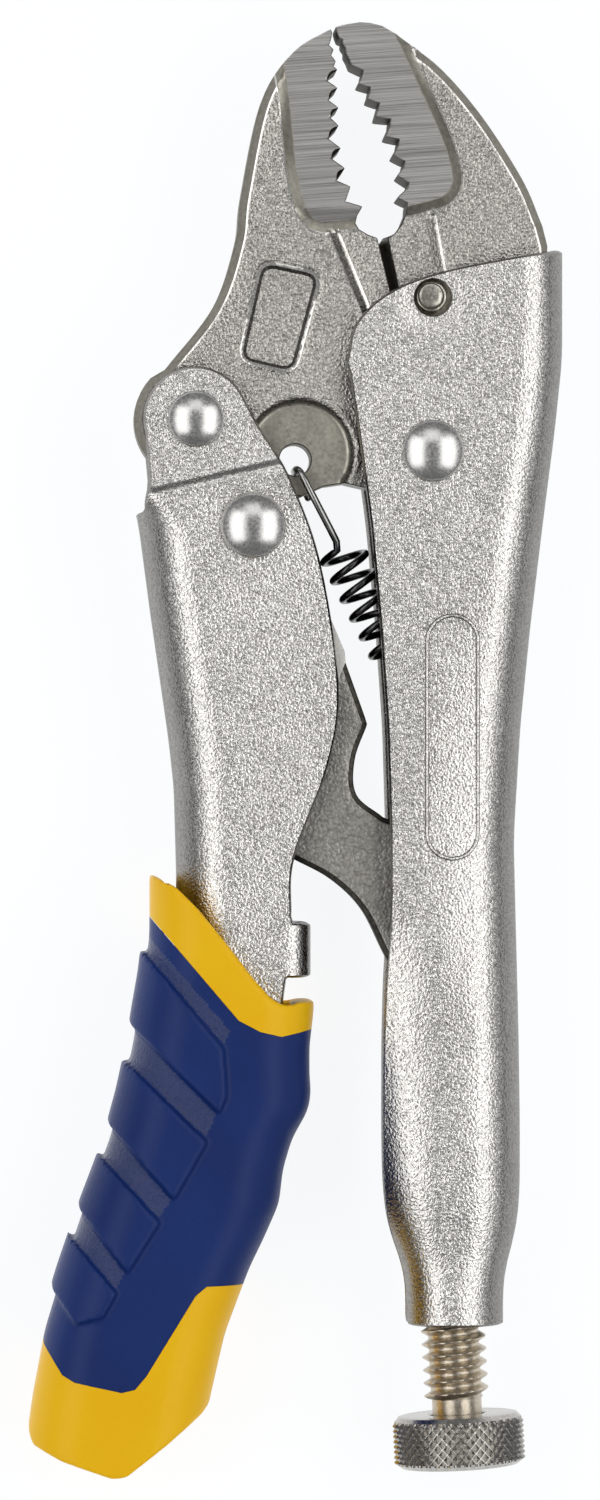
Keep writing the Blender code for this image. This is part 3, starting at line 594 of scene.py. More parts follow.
# Height and middle of the saw cut, up to the notch
SLIT = np.array(((9.9, -3.46), (16.0, -4.02), (20.5, -5.1), (21.2, -4.6)))
SLIT_TOP = 20.9
SLIT_WIDTH = 1.2

JAW_FACE = 3.8
POCKET = 3.2
JAW_EDGE = 0.1
JAW_MESH = 0.24
BITE_REACH = 0.25
# The rounded outer edge of a forged jaw and the lip and dished pocket inside it
BACK_BEVEL = 0.75
BACK_SLOPE = 1.15
RIM_CREST, RIM_CREST_REACH = 0.08, 0.3
RIM_DISH, RIM_DISH_REACH = 0.12, 1.9
LIP = 0.17
# The slope round a tooth block, the ramp at the movable block's foot and its teeth's flanks
BLOCK_EDGE = 0.1
BLOCK_FOOT = 0.95
GROUND_RAMP = 0.42
GROUND_FOOT = 23.9
LEAF = 0.36
LEAF_DEPTH = 0.4
# Across a trough from its line: a lip, a steep side, the floor and a gentle side, with the height
# of each as a share of the trough's depth
TROUGH = (-0.5, -0.15, 0.0, 0.6, 0.72, 0.96, 2.2)
TROUGH_SHAPE = (0.0, 0.2, 0.2, -1.0, -1.0, -0.7, 0.0)
# Across the panel's border: the foot and top of its outer side, the top and foot of its inner one
LABEL = (0.72, 0.46, 0.14, -0.18)
LABEL_RISE, LABEL_FALL = 0.15, 0.33
# The sunk disc round the spring hole: its centre, wall, depth, smooth part and the lip outside
DISC = (-13.0, -0.2)
DISC_WALL, DISC_DEPTH, DISC_SMOOTH = (5.5, 4.7), 0.55, 5.1
DISC_LIP, DISC_LIP_AT, DISC_LIP_WIDTH = 0.14, 5.7, 0.35

JAW_LOOKS = (FORGED, GROUND, SMOOTH_FORGED, SAWN_AND_SHADED, FORGED_HIGHLIGHT)
GROUND_LOOK, SMOOTH_LOOK, SAWN_AND_SHADE_LOOK, HIGHLIGHT_LOOK = range(1, 5)


def shifted(line, amount, closed=False):
    """A line moved sideways, to its right when the amount is positive."""
    moved = []
    last = len(line) - 1
    for i, here in enumerate(line):
        before = line[i - 1 if closed else max(i - 1, 0)]
        after = line[(i + 1) % len(line) if closed else min(i + 1, last)]
        dx, dy = after[0] - before[0], after[1] - before[1]
        size = hypot(dx, dy)
        moved.append((here[0] + amount * dy / size, here[1] - amount * dx / size))
    return moved


def jaw(name, outline, block, back, bite, detail, body, foot=-99.0, holes=(), creases=(),
        smooth_zone=None, highlight_bands=(), leaves=()):
    """A forged jaw: a ground tooth block above a blasted pocket with a rounded back.

    back is the jaw's rounded outer edge, bite the line of its teeth and sawn edge, and foot the
    height below which the ground face slopes away. The bands passed in are painted lighter as a
    painted highlight, and leaves the flanks of the teeth that are cut back.
    """
    inner = offset_loop(outline, -JAW_EDGE)

    def height(points):
        away = signed(points, block)
        edge = distance(points, back)
        within = edge - BACK_BEVEL
        level = POCKET + detail(points) + BACK_SLOPE * np.minimum(within, 0.0)
        level = level + RIM_CREST * smoothstep(RIM_CREST_REACH, 0.0, within)
        level = level + RIM_DISH * smoothstep(RIM_DISH_REACH, 0.2, within)
        face = JAW_FACE - GROUND_RAMP * np.maximum(foot - points[:, 1], 0.0)
        face = face - LEAF_DEPTH * leaf_depth(points, leaves)
        share = np.clip((BLOCK_FOOT - away) / (BLOCK_FOOT - BLOCK_EDGE), 0.0, 1.0)
        return level + (face - level) * share

    def place(points, base, side, drop):
        return np.column_stack((points, side * (height(base) - drop)))

    lines = [*creases, block + block[:1]]
    lines += [offset_loop(block, out) for out in (BLOCK_EDGE, BLOCK_FOOT, BLOCK_FOOT + LIP)]
    lines += [shifted(back, -amount) for amount in (0.35, BACK_BEVEL, BACK_BEVEL + LIP, 1.12)]
    lines += [leaf_line(leaf) for leaf in leaves]
    area = region(inner, JAW_MESH, holes, lines)
    bm = solid(name, area, place, ((JAW_EDGE, JAW_EDGE),))

    middle = np.array([f.calc_center_median() for f in bm.faces])[:, :2]
    from_back, from_block = distance(middle, back), signed(middle, block)
    at_bite = distance(middle, bite) < BITE_REACH
    smooth = (from_back < BACK_BEVEL) | (from_block < BLOCK_FOOT)
    if smooth_zone:
        smooth |= smooth_zone(middle)
    # Painted highlight: the band inside the rounded back, the band round the block's foot and the
    # given bands take the light nickel.
    rim = (from_back > BACK_BEVEL) & (from_back < BACK_BEVEL + LIP)
    bright = (from_block > BLOCK_FOOT) & (rim | (from_block < BLOCK_FOOT + LIP))
    for low, high, line in highlight_bands:
        bright |= (line(middle) > low) & (line(middle) < high)
    cut_back = leaf_depth(middle, leaves) > 0.0
    # Painted shade in part: the upright tooth walls above the saw cut and the cut-back flanks take
    # the dark sawn nickel, which stands partly for the shade in the gap and gullets.
    for i, face in enumerate(bm.faces):
        upright = abs(face.normal.z) < 0.5
        if at_bite[i] and upright:
            face.material_index = SMOOTH_LOOK if middle[i, 1] < SLIT_TOP else SAWN_AND_SHADE_LOOK
        elif cut_back[i] and not upright:
            face.material_index = SAWN_AND_SHADE_LOOK
        elif from_block[i] < 0.03 and not upright:
            face.material_index = GROUND_LOOK
        elif bright[i]:
            face.material_index = HIGHLIGHT_LOOK
        elif smooth[i]:
            face.material_index = SMOOTH_LOOK
    if body == "fixed_side":
        close_slit(bm)
    node = name.replace("_forging", "")
    return piece(name, bm, JAW_LOOKS, body, (node,), 30)


def close_slit(bm):
    """Swell the fixed jaw's side of the saw cut towards the other jaw at mid thickness."""
    bmesh.ops.bisect_plane(bm, geom=bm.verts[:] + bm.edges[:] + bm.faces[:], dist=1e-5,
                           plane_co=(0, 0, 0), plane_no=(0, 0, 1))
    height, middle = SLIT.T
    for vert in bm.verts:
        x, y, z = vert.co
        if abs(z) < 1e-4 and height[0] < y < height[-1]:
            to = float(np.interp(y, height, middle))
            if 0 < x - to < SLIT_WIDTH:
                vert.co.x = to


def offset_loop(points, amount):
    """Move every corner of a closed outline outwards, keeping its sides parallel."""
    moved = []
    count = len(points)
    turn = sum(a[0] * b[1] - b[0] * a[1] for a, b in zip(points, points[1:] + points[:1]))
    side = amount if turn > 0 else -amount
    for i in range(count):
        before, here, after = points[i - 1], points[i], points[(i + 1) % count]
        a = atan2(here[1] - before[1], here[0] - before[0])
        b = atan2(after[1] - here[1], after[0] - here[0])
        half_turn = ((b - a + pi) % (2 * pi) - pi) / 2
        middle = a + half_turn
        reach = side / max(cos(half_turn), 0.5)
        moved.append((here[0] + reach * sin(middle), here[1] - reach * cos(middle)))
    return moved


def fixed_jaw():
    """The jaw that is riveted into the fixed handle."""
    bite = [*FIXED_TEETH, *FIXED_SAWN]
    outline = [(-4.9, 41.7), (-6.1, 42.0), (-7.1, 42.05), (-8.3, 41.87), *bite]
    outline += arc(JAW_PIVOT, 6.7, 104, 20, 8)
    outline += [(7.2, -1.0), (9.4, -1.0), (9.6, 18.9), (10.2, 18.9), (11.3, 18.9), (11.4, 20.2)]
    edge = curve(((10.9, 22.2), (8.9, 26.8), (4.9, 33.0), (0.7, 37.8), (-3.6, 40.95)), 8)
    outline += edge
    block = [(-9.8, 42.6), (-10.4, 36.0), (-6.5, 28.0), (-4.0, 24.1), (-2.4, 24.1)]
    block += curve(((-2.4, 24.1), (0.0, 24.7), (1.35, 25.3), (1.95, 26.6), (1.7, 28.3), (0.8, 31.0),
                    (-1.0, 35.0), (-2.9, 39.2), (-3.7, 40.9), (-4.1, 42.6)), 5)[1:]
    rib = ((-0.6, 23.4), (0.5, 17.5))

    def detail(points):
        return trough(points, rib, 0.3) + undulation(points)

    back = [(11.55, 18.9), (11.45, 20.2), *edge[:-5]]
    return jaw("fixed_jaw_forging", outline, block, back, bite, detail, "fixed_side",
               creases=trough_creases(rib), highlight_bands=trough_highlight_bands(rib))


def beside(points, line):
    """How far each point is to the right of a line that runs downwards."""
    (x0, y0), (x1, y1) = line
    x, y = points.T
    return ((x - x0) * (y0 - y1) + (y - y0) * (x1 - x0)) / hypot(x1 - x0, y1 - y0)


def trough(points, line, depth):
    """A shallow channel beside a line: a lip, a steep side, then a gentle one."""
    (_, high), (_, low) = line
    y = points[:, 1]
    ends = smoothstep(low - 0.3, low + 0.5, y) * smoothstep(high + 0.3, high - 0.5, y)
    return ends * depth * np.interp(beside(points, line), TROUGH, TROUGH_SHAPE)


def trough_creases(line):
    """Lines for the mesh to follow along a trough."""
    return [shifted(list(line), -side) for side in TROUGH[:-1]]


def trough_highlight_bands(line):
    """The lip of a trough and its gentle side, as bands that jaw() paints lighter as a painted
    highlight.
    """
    (_, high), (_, low) = line

    def at(points):
        y = points[:, 1]
        return np.where((y > low) & (y < high), beside(points, line), 99.0)

    return [(TROUGH[1], TROUGH[2], at), (TROUGH[4], TROUGH[5], at)]


def leaf_line(leaf):
    """The curved upper edge of a cut-back flank, from its gullet to its tip."""
    low, tip = np.array(leaf)
    way = tip - low
    side = np.array((-way[1], way[0])) / hypot(*way)
    return [tuple(low + way * t + side * LEAF * sin(pi * t)) for t in np.linspace(0.04, 0.96, 9)]


def leaf_depth(points, leaves):
    """How deep each point lies in a cut-back flank, from 0 on its curved edge to 1."""
    depth = np.zeros(len(points))
    for leaf in leaves:
        low, tip = np.array(leaf)
        t = (points - low) @ (tip - low) / ((tip - low) @ (tip - low))
        out = beside(points, leaf)
        reach = LEAF * np.sin(pi * np.clip(t, 0.0, 1.0))
        share = np.where(reach > 0.01, 1 - out / np.maximum(reach, 0.01), 0.0)
        near = (t > 0) & (t < 1) & (out > -0.4)
        depth = np.maximum(depth, np.where(near, np.clip(share, 0.0, 1.0), 0.0))
    return depth


def undulation(points):
    """The slow unevenness that forging leaves."""
    x, y = points.T
    return 0.05 * np.sin(0.55 * x + 0.31 * y + 1.0) + 0.04 * np.sin(0.83 * x - 0.47 * y)


def movable_jaw():
    """The jaw that swings, with its panel and the disc round its spring hole."""
    bite = [*MOVABLE_SAWN[::-1], *MOVABLE_TEETH[::-1]]
    edge = curve(((-9.95, 41.4), (-13.6, 39.1), (-16.7, 34.4), (-18.7, 25.1), (-19.3, 20.4),
                  (-21.5, 14.1), (-26.2, 8.0)), 8)
    outline = list(edge)
    outline += arc(LEVER_PIVOT, 6.0, 137, 298, 20)
    outline += [(-18.6, -1.4), (-15.9, -3.4), (-12.8, -4.4), (-10.6, -3.4), (-8.6, -3.1)]
    outline += arc(JAW_PIVOT, 6.2, 220, 472, 24)
    outline += bite
    block = curve(((-15.6, 42.5), (-14.6, 38.3), (-13.95, 34.0), (-13.6, 30.5), (-13.3, 27.5),
                   (-12.7, 24.9), (-12.3, 23.6)), 5)
    block += [(-11.6, 22.75), (-10.6, 22.4), (-7.2, 22.9), (-5.5, 23.3), (-6.0, 30.0), (-8.0, 42.5)]
    rib = ((-10.2, 21.8), (-6.6, 13.0))
    label = rounded([(-16.5, 18.3), (-11.25, 17.2), (-13.7, 8.0), (-18.6, 9.1)], 1.2)

    def detail(points):
        level = trough(points, rib, 0.4) + undulation(points)
        panel = signed(points, label)
        level = level + LABEL_RISE * smoothstep(LABEL[0], LABEL[1], panel)
        level = level - LABEL_FALL * smoothstep(LABEL[2], LABEL[3], panel)
        disc = from_disc(points)
        level = level - DISC_DEPTH * smoothstep(*DISC_WALL, disc)
        return level + DISC_LIP * np.exp(-(((disc - DISC_LIP_AT) / DISC_LIP_WIDTH) ** 2))

    def from_disc(points):
        return np.hypot(*(points - DISC).T)

    def disc_zone(points):
        return from_disc(points) < DISC_SMOOTH

    hole = arc(SPRING_HOLE, 1.65, 0, 350, 35)
    creases = [ring + ring[:1] for ring in (offset_loop(label, side) for side in LABEL)]
    creases += [[(-12.6, GROUND_FOOT), (-7.4, GROUND_FOOT)]]
    creases += trough_creases(rib)
    back = edge[3:-1] + arc(LEVER_PIVOT, 6.0, 137, 235, 12)
    highlight_bands = [*trough_highlight_bands(rib), (LABEL[2], LABEL[1], lambda points: signed(points, label))]
    turns = [b for a, b, c in zip(MOVABLE_TEETH, MOVABLE_TEETH[1:], MOVABLE_TEETH[2:])
             if (a[0] < b[0]) == (c[0] < b[0])]
    leaves = [(low, tip) for tip, low in zip(turns, turns[1:]) if tip[0] > low[0] + 0.6]
    return jaw("movable_jaw_forging", outline, block, back, bite, detail, "swinging_jaw",
               GROUND_FOOT, [hole], creases, disc_zone, highlight_bands, leaves)


def rounded(corners, radius, steps=5):
    """A closed outline with its corners rounded."""
    made = []
    for i, here in enumerate(corners):
        here = Vector(here)
        before = Vector(corners[i - 1])
        after = Vector(corners[(i + 1) % len(corners)])
        a = here + (before - here).normalized() * radius
        b = here + (after - here).normalized() * radius
        for k in range(steps + 1):
            t = k / steps
            made.append(tuple((1 - t) ** 2 * a + 2 * t * (1 - t) * here + t * t * b))
    return made


# ---------------------------------------------------------------- pressed channels


def table(rows):
    """A smooth function through rows of (y, value, ...), given from the top down."""
    rows = np.array(rows, float)[::-1]

    def at(y, column):
        return np.interp(y, rows[:, 0], rows[:, column])

    return at


# Height, free edge, web, half thickness, bend radius, curl of the free edge and crown, in degrees
HANDLE = table((
    (22.0, -9.0, 12.95, 5.6, 4.4, 0, 0), (9.8, -9.0, 12.95, 5.6, 4.4, 0, 0),
    (9.2, -8.2, 12.95, 5.6, 4.4, 0, 0), (2.0, -7.1, 12.2, 5.6, 4.4, 0, 0),
    (-6.8, -5.9, 11.1, 5.6, 5.0, 0, 1), (-17.0, -4.95, 9.9, 5.6, 5.4, 0, 6),
    (-27.0, -4.25, 8.9, 5.6, 5.8, 0, 10), (-38.0, -3.95, 8.25, 5.6, 5.8, 2, 11),
    (-46.0, -3.95, 8.45, 5.6, 5.8, 9, 11), (-52.0, -4.4, 8.6, 5.6, 5.8, 22, 7),
    (-58.0, -4.6, 8.75, 5.55, 5.6, 30, 5), (-66.0, -4.65, 8.85, 5.5, 5.5, 38, 4),
    (-71.0, -4.6, 8.85, 5.5, 5.5, 44, 4), (-73.6, -4.45, 8.8, 5.35, 5.5, 52, 4),
    (-76.2, -4.1, 8.5, 5.0, 5.3, 64, 3), (-78.4, -3.3, 7.95, 4.8, 5.0, 74, 1),
    (-80.4, -2.6, 7.4, 4.75, 4.8, 81, 0),
    (-82.0, -2.4, 7.2, 4.8, 4.8, 85, 0), (-85.6, -2.4, 7.2, 4.8, 4.8, 85, 0),
))
HANDLE_TOP, HANDLE_FOOT = 19.6, -85.6
CROWN = 35.0
KNEE_TURN = pi / 3
CURL_LENGTH = 5.3
# The dent round the stake: its depth, its flat radius and how far it fades beyond that
DENT = (0.22, 2.2, 0.9)
# A sheared edge's rows, as (outwards, drop)
CRISP_RIM = ((0.12, 0.17), (0.2, 0.38), (0.24, 0.62))


def eased(at, y, column, reach=1.6):
    """A table's value with its corners eased over a short reach."""
    return sum(at(y + reach * k / 2, column) for k in (-2, -1, 0, 1, 2)) / 5


def rolled(past, bends):
    """How far a strip turns, runs on and falls, a length past the start of its bends.

    The bends are rows of (radius, angle); after the last one the strip is straight.
    """
    past = np.maximum(past, 0.0)
    turn, ahead, fall = 0.0, 0.0, 0.0
    for radius, angle in bends:
        part = turn + np.clip(past / radius, 0.0, angle)
        ahead = ahead + radius * (np.sin(part) - np.sin(turn))
        fall = fall + radius * (np.cos(turn) - np.cos(part))
        turn = part
        past = past - radius * angle
    past = np.maximum(past, 0.0)
    return turn, ahead + past * np.cos(turn), fall + past * np.sin(turn)


def handle_section(y):
    """The folded sheet's middle line at a height.

    Returns its knee, half thickness and bends, and its free edge's curl as a radius and a start.
    """
    edge, web, half, corner, curl, crown = (eased(HANDLE, y, c) for c in (1, 2, 3, 4, 5, 6))
    half = half - SHEET / 2
    crown = np.radians(np.maximum(crown, 0.3))
    wide = corner - SHEET / 2
    tight = 2 * (half - CROWN * (1 - np.cos(crown)) - wide * (np.cos(crown) - 0.5))
    tight = np.minimum(tight, wide)
    reach = CROWN * np.sin(crown) + wide * (sin(KNEE_TURN) - np.sin(crown))
    knee = web - SHEET / 2 - reach - tight * (1 - sin(KNEE_TURN))
    bend = np.radians(np.maximum(curl, 0.5))
    roll = CURL_LENGTH / bend
    bends = ((CROWN, crown), (wide, KNEE_TURN - crown), (tight, pi / 2 - KNEE_TURN))
    return knee, half, bends, roll, edge + (roll + SHEET / 2) * np.sin(bend)


def bend_handle(points, level):
    """Fold the flat pattern of half the fixed handle: its curled edge, flange, bend and web."""
    x, y = points.T
    knee, half, bends, roll, start = handle_section(y)
    turn, ahead, fall = rolled(x - knee, bends)
    lip = np.maximum(start - x, 0.0)
    curl = lip / roll
    made_x = np.minimum(x, knee) + ahead + level * np.sin(turn)
    made_z = half - fall + level * np.cos(turn)
    curled_x = lip - (roll + level) * np.sin(curl)
    curled_z = (roll + level) * (np.cos(curl) - 1)
    return np.column_stack((made_x + curled_x, y, made_z + curled_z))


def handle_seam(y):
    """How far the flat pattern of half the handle reaches, to the middle of its web."""
    knee, half, bends, _, _ = handle_section(np.array([y]))
    length = sum(radius * angle for radius, angle in bends)
    fall = rolled(length, bends)[2]
    return float((knee + length + np.maximum(half - fall, 0.0))[0])


def handle_free_edge(y):
    """Where the flat pattern of the handle ends on its open side."""
    return float(handle_section(np.array([y]))[4][0] - CURL_LENGTH)


def fixed_handle():
    """The pressed channel that holds the jaw and the screw, with its dented, drilled flanges."""
    outline = curve(((-8.1, 9.4), (-7.3, 12.4), (-4.2, 15.3), (1.2, 17.4), (12.0, 19.5)), 8)[:-1]
    outline += [(13.5, HANDLE_TOP), (handle_seam(HANDLE_TOP), HANDLE_TOP)]
    outline += [(handle_seam(y), y) for y in np.linspace(19.0, -85.0, 105)]
    outline += [(handle_seam(HANDLE_FOOT), HANDLE_FOOT)]
    outline += [(handle_free_edge(HANDLE_FOOT) + 0.6, HANDLE_FOOT)]
    outline += [(handle_free_edge(-84.9), -84.9)]
    outline += [(handle_free_edge(y), y) for y in np.linspace(-84.0, 8.6, 94)]
    area = region(outline, 0.55)

    def place(points, base, side, drop):
        depth, flat, fade = DENT
        away = np.maximum(np.hypot(*(base - STAKE).T) - flat, 0.0)
        dent = depth * np.exp(-((away / fade) ** 2))
        return bend_handle(points, side * (SHEET / 2 - drop) - dent)

    def seam(points):
        right = np.array([handle_seam(y) for y in points[:, 1]])
        return points[:, 0] > right - 1e-3

    bm = solid("fixed_handle_shell", area, place, CRISP_RIM, seam, 1)
    shell = piece("fixed_handle_shell", bm, (NICKEL, SHADED_INSIDE), "fixed_side",
                  ("fixed_handle",))
    return combined(shell, [("DIFFERENCE", rod("stake_bore", STAKE, 1.9, 8, NICKEL))])


# Height, web and bend radius
LEVER = table((
    (10.0, -31.0, 1.8), (-2.6, -30.6, 1.8), (-5.6, -29.0, 3.6), (-8.0, -28.6, 5.2),
    (-15.6, -27.6, 5.2), (-28.0, -25.8, 5.2), (-33.0, -25.25, 5.2), (-42.0, -25.0, 5.2),
    (-56.0, -25.4, 5.2), (-64.5, -26.2, 5.2),
))
LEVER_LEAN = 0.055
EAR_HALF = 5.3
JOGGLE_RISE = 0.6
JOGGLE_STEPS = (0.0, 0.17, 0.34, 0.52, 0.7, 0.88, 1.05)
JOGGLE = ((-30.0, -3.98), (-15.0, -0.5))
# Where the curled tab starts across the flat pattern, its bend radius and its lower and upper end
TAB = (-14.3, 1.55, -52.4, -45.6)
TAB_TURN = radians(84)


def lever_section(x, y):
    """Where the lever's web bend ends, half its thickness and the bend's radius at each point."""
    web, corner = eased(LEVER, y, 1, 1.0), eased(LEVER, y, 2, 1.0)
    (x0, y0), (x1, y1) = JOGGLE
    below = y0 + (x - x0) * (y1 - y0) / (x1 - x0) - y
    half = EAR_HALF + JOGGLE_RISE * smoothstep(0.0, JOGGLE_STEPS[-1], below)
    return web + corner, half - SHEET / 2, corner - SHEET / 2


def bend_lever(points, level):
    """Fold the flat pattern of half the lever: web, bend, flange, joggled ear and curled tab."""
    x, y = points.T
    knee, half, radius = lever_section(x, y)
    half = half - LEVER_LEAN * np.maximum(x - knee, 0.0) * smoothstep(-2.0, -7.0, y)
    tab_start, tab_radius, tab_low, tab_high = TAB
    on_tab = (x > tab_start) & (y > tab_low) & (y < tab_high)
    turn, ahead, fall = rolled(knee - x, ((radius, pi / 2),))
    tab_turn, tab_ahead, tab_fall = rolled(x - tab_start, ((tab_radius, TAB_TURN),))
    made_x = np.where(on_tab, tab_start + tab_ahead + level * np.sin(tab_turn),
                      np.maximum(x, knee) - ahead - level * np.sin(turn))
    made_z = half + np.where(on_tab, level * np.cos(tab_turn) - tab_fall,
                             level * np.cos(turn) - fall)
    return np.column_stack((made_x, y, made_z))


def lever_seam(y):
    """Where the flat pattern of half the lever starts, in the middle of its web."""
    knee, half, radius = lever_section(np.array([-30.0]), np.array([y]))
    return float((knee - radius * pi / 2 - half + radius)[0])


def lever_handle():
    """The pressed channel that is squeezed, with its joggled ear and a curled tab."""
    outline = [(-18.0, -64.2), (-15.6, -60.0), (-14.9, -53.7), (-14.6, -51.6), (-14.3, -51.3)]
    outline += [(-10.9, -51.3), (-10.6, -51.0), (-10.6, -46.7), (-10.9, -46.4), (-14.0, -46.4)]
    outline += curve(((-14.1, -45.5), (-13.8, -39.8), (-10.5, -30.8), (-9.45, -23.0),
                      (-11.3, -10.7), (-14.3, -2.6), (-17.4, 2.6)), 12)
    outline += arc(LEVER_PIVOT, 4.9, 30, 196, 30)
    outline += [(-27.5, -2.6), (-27.7, -5.4), (-28.2, -6.0), (-29.0, -6.2)]
    outline += [(lever_seam(-6.2), -6.2)]
    outline += [(lever_seam(y), y) for y in np.linspace(-6.7, -63.7, 96)]
    outline += [(lever_seam(-64.2), -64.2)]
    (x0, y0), (x1, y1) = JOGGLE
    area = region(outline, 0.45, (), [[(x0, y0 - d), (x1, y1 - d)] for d in JOGGLE_STEPS])

    def place(points, base, side, drop):
        return bend_lever(points, side * (SHEET / 2 - drop))

    def seam(points):
        left = np.array([lever_seam(y) for y in points[:, 1]])
        return (points[:, 0] < left + 1e-3) & (points[:, 1] < -6.1)

    bm = solid("lever_handle_shell", area, place, CRISP_RIM, seam, 1)
    return piece("lever_handle_shell", bm, (NICKEL, SHADED_INSIDE), "lever",
                 ("lever_handle",))


# ---------------------------------------------------------------- rivets, screw, spring


def rivet(name, centre, shank, seat, head, rise, body):
    """A rivet with a low round head on each side of the tool."""
    seat += 0.02
    side_rise = 0.28
    cap = rise - side_rise
    ball = (head**2 + cap**2) / (2 * cap)
    rim = atan2(head, ball - cap)
    angles = [rim * (1 - i / 16) for i in range(1, 16)]
    side = [(head - 0.15, seat), (head, seat + 0.12), (head, seat + side_rise - 0.06)]
    side += [(ball * sin(a), seat + rise - ball * (1 - cos(a))) for a in angles]
    side += [(0.0, seat + rise)]
    profile = [(r, -z) for r, z in side[::-1]] + [(shank, -seat), (shank, seat)] + side
    place = Matrix.Translation((*centre, 0.0))
    return piece(name + "_domed", turned(profile, 96), (BRIGHT,), body, (name,), 50,
                 place)


def stake():
    """The fixed jaw's rivet: an off-centre boss in a countersunk ring on each side."""
    rim, off_centre = 1.88, 0.5
    profile = [(0, 5.32), (0.8, 5.34), (1.12, 5.28), (1.25, 5.1), (1.3, 4.75), (1.42, 4.72),
               (1.75, 5.12), (rim, 5.3)]
    profile = [(r, -z) for r, z in profile] + [(rim, -4.2), (1.2, -4.15), (1.2, 4.15), (rim, 4.2)]
    profile += [(r, -z) for r, z in profile[7::-1]]
    bm = turned(profile, 96)
    for vert in bm.verts:
        radius = hypot(vert.co.x, vert.co.y)
        if abs(vert.co.z) > 4.5:
            lean = off_centre * max(0.0, 1 - radius / rim)
            vert.co.x -= lean
            vert.co.y += lean
    return piece("fixed_jaw_stake", bm, (STAKE_METAL,), "fixed_side",
                 ("fixed_jaw_rivet",), 40, Matrix.Translation((*STAKE, 0.0)))


def toggle_link():
    """A flat link with dark chamfered edges and a raised eye."""
    half, chamfer, eye, eye_half, clear = 2.2, 0.5, 3.4, 4.1, 0.06
    outline = arc(TOGGLE_PIVOT, 3.6, 10, 195, 24)
    outline += [(-19.6, -22.0), (-17.2, -36.2), (-15.8, -38.7)]
    outline += curve(((-13.6, -40.0), (-9.9, -42.0), (-6.9, -44.9), (-4.7, -49.2)), 8)
    outline += [(-2.6, -53.2)]
    outline += arc((0.7, -55.3), 2.2, 200, 350, 16)
    outline += [(2.0, -47.0), (0.4, -40.5), (-2.0, -36.9)]
    outline += curve(((-4.7, -35.8), (-7.3, -33.6), (-7.45, -30.2), (-6.2, -26.7)), 8)
    outline += [(-8.35, -20.7), (-10.8, -14.0)]
    inner = offset_loop(outline, -chamfer - clear)

    def place(points, base, side, drop):
        return np.column_stack((points, np.full(len(points), side * (half - drop))))

    bm = solid("toggle_link_plate", region(inner, 0.8), place,
               ((chamfer * 0.8, 0.12), (chamfer, 0.35)))
    for f in bm.faces:
        f.material_index = int(abs(f.normal.z) < 0.99)
    link = piece("toggle_link_plate", bm, (LINK, LINK_EDGE), "link",
                 ("toggle_link",), 25)
    return combined(link, [("UNION", rod("eye", TOGGLE_PIVOT, eye, eye_half, LINK)),
                           ("DIFFERENCE", rod("bore", TOGGLE_PIVOT, 2.2, 8, LINK))])


def jaw_spring():
    """An extension spring from the jaw's hole to the lug in the handle."""
    first, last = Vector((-8.7, -9.9, 0.4)), Vector((-4.0, -19.1, 0.4))
    turns, steps, coil = 6, 32, 2.04
    along = (last - first) / (turns - 1)
    across = Vector((-along.y, along.x, 0.0)).normalized()
    coils = []
    for i in range((turns - 1) * steps + steps // 2 + 1):
        a = 2 * pi * i / steps
        out = coil * (Vector((0, 0, 1)) * cos(a) - across * sin(a))
        coils.append(first + along * (i / steps - 0.25) + out)
    x, y = SPRING_HOLE
    leg = [(-11.75, -4.6, -3.8), (-12.3, -3.4, -4.1), (x + 0.4, y - 1.6, -4.1)]
    leg += [(x + 0.15, y - 0.95, -3.2), (x + 0.15, y - 0.95, 0.0), (x + 0.15, y - 0.95, 2.9)]
    leg += [(x + 0.6, y - 1.5, 4.0)]
    leg += [(-11.6, -4.6, 4.05), (-10.2, -7.2, 3.3), (-9.35, -8.8, 2.7)]
    hook = [(-3.0, -22.2, -1.2), (-1.0, -23.6, 0.0), (-0.5, -25.1, 0.4), (-1.5, -26.4, 0.5)]
    hook += [(-3.2, -26.6, 0.6), (-4.4, -25.6, 0.7)]
    path = curve(leg, 6) + coils[1:-1] + curve([coils[-1], *hook], 6)
    spring = piece("jaw_spring_wire", wire(path, 0.36, 14), (OILED,), None,
                   ("jaw_spring",), 60)
    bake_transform(spring)


SCREW_AT = (2.1, -83.2)
SCREW_TILT = radians(3.0)
PITCH = 1.27
CREST, ROOT = 3.175, 2.49
KNOB_TOP = -94.6


def along_screw(y):
    """Where the screw's own z line runs: up the handle from a point at height y."""
    x = SCREW_AT[0] + (SCREW_AT[1] - y) * sin(SCREW_TILT) / cos(SCREW_TILT)
    stand = Matrix.Rotation(SCREW_TILT, 4, "Z") @ Matrix.Rotation(-pi / 2, 4, "X")
    phase = Matrix.Rotation(2 * pi * (y / cos(SCREW_TILT)) / PITCH, 4, "Z")
    return Matrix.Translation((x, y, 0.0)) @ stand @ phase


def adjusting_screw():
    """The threaded rod with its plain lower end."""
    foot, steps, rows = KNOB_TOP - 3.4, 72, 12
    low, high = 5.0 / cos(SCREW_TILT), (-61.3 - foot) / cos(SCREW_TILT)
    rings = []
    for z in [*np.linspace(0.0, low - 0.2, 12), *np.arange(low - 0.1, high, PITCH / rows), high]:
        ring = []
        for i in range(steps):
            share = (z / PITCH - i / steps) % 1.0
            rise = 1.0 - min(abs(share - 0.375) / 0.375, 1.0)
            rise = min(1.0, 1.18 * rise) if low < z < high - 0.01 else 0.0
            radius = ROOT + (CREST - ROOT) * rise - (0.05 if z < low else 0.0)
            a = 2 * pi * i / steps
            ring.append((radius * cos(a), radius * sin(a), z))
        rings.append(ring)
    return piece("adjusting_screw_thread", skin(rings), (SCREW,), "screw",
                 ("adjusting_screw",), 50, along_screw(foot))


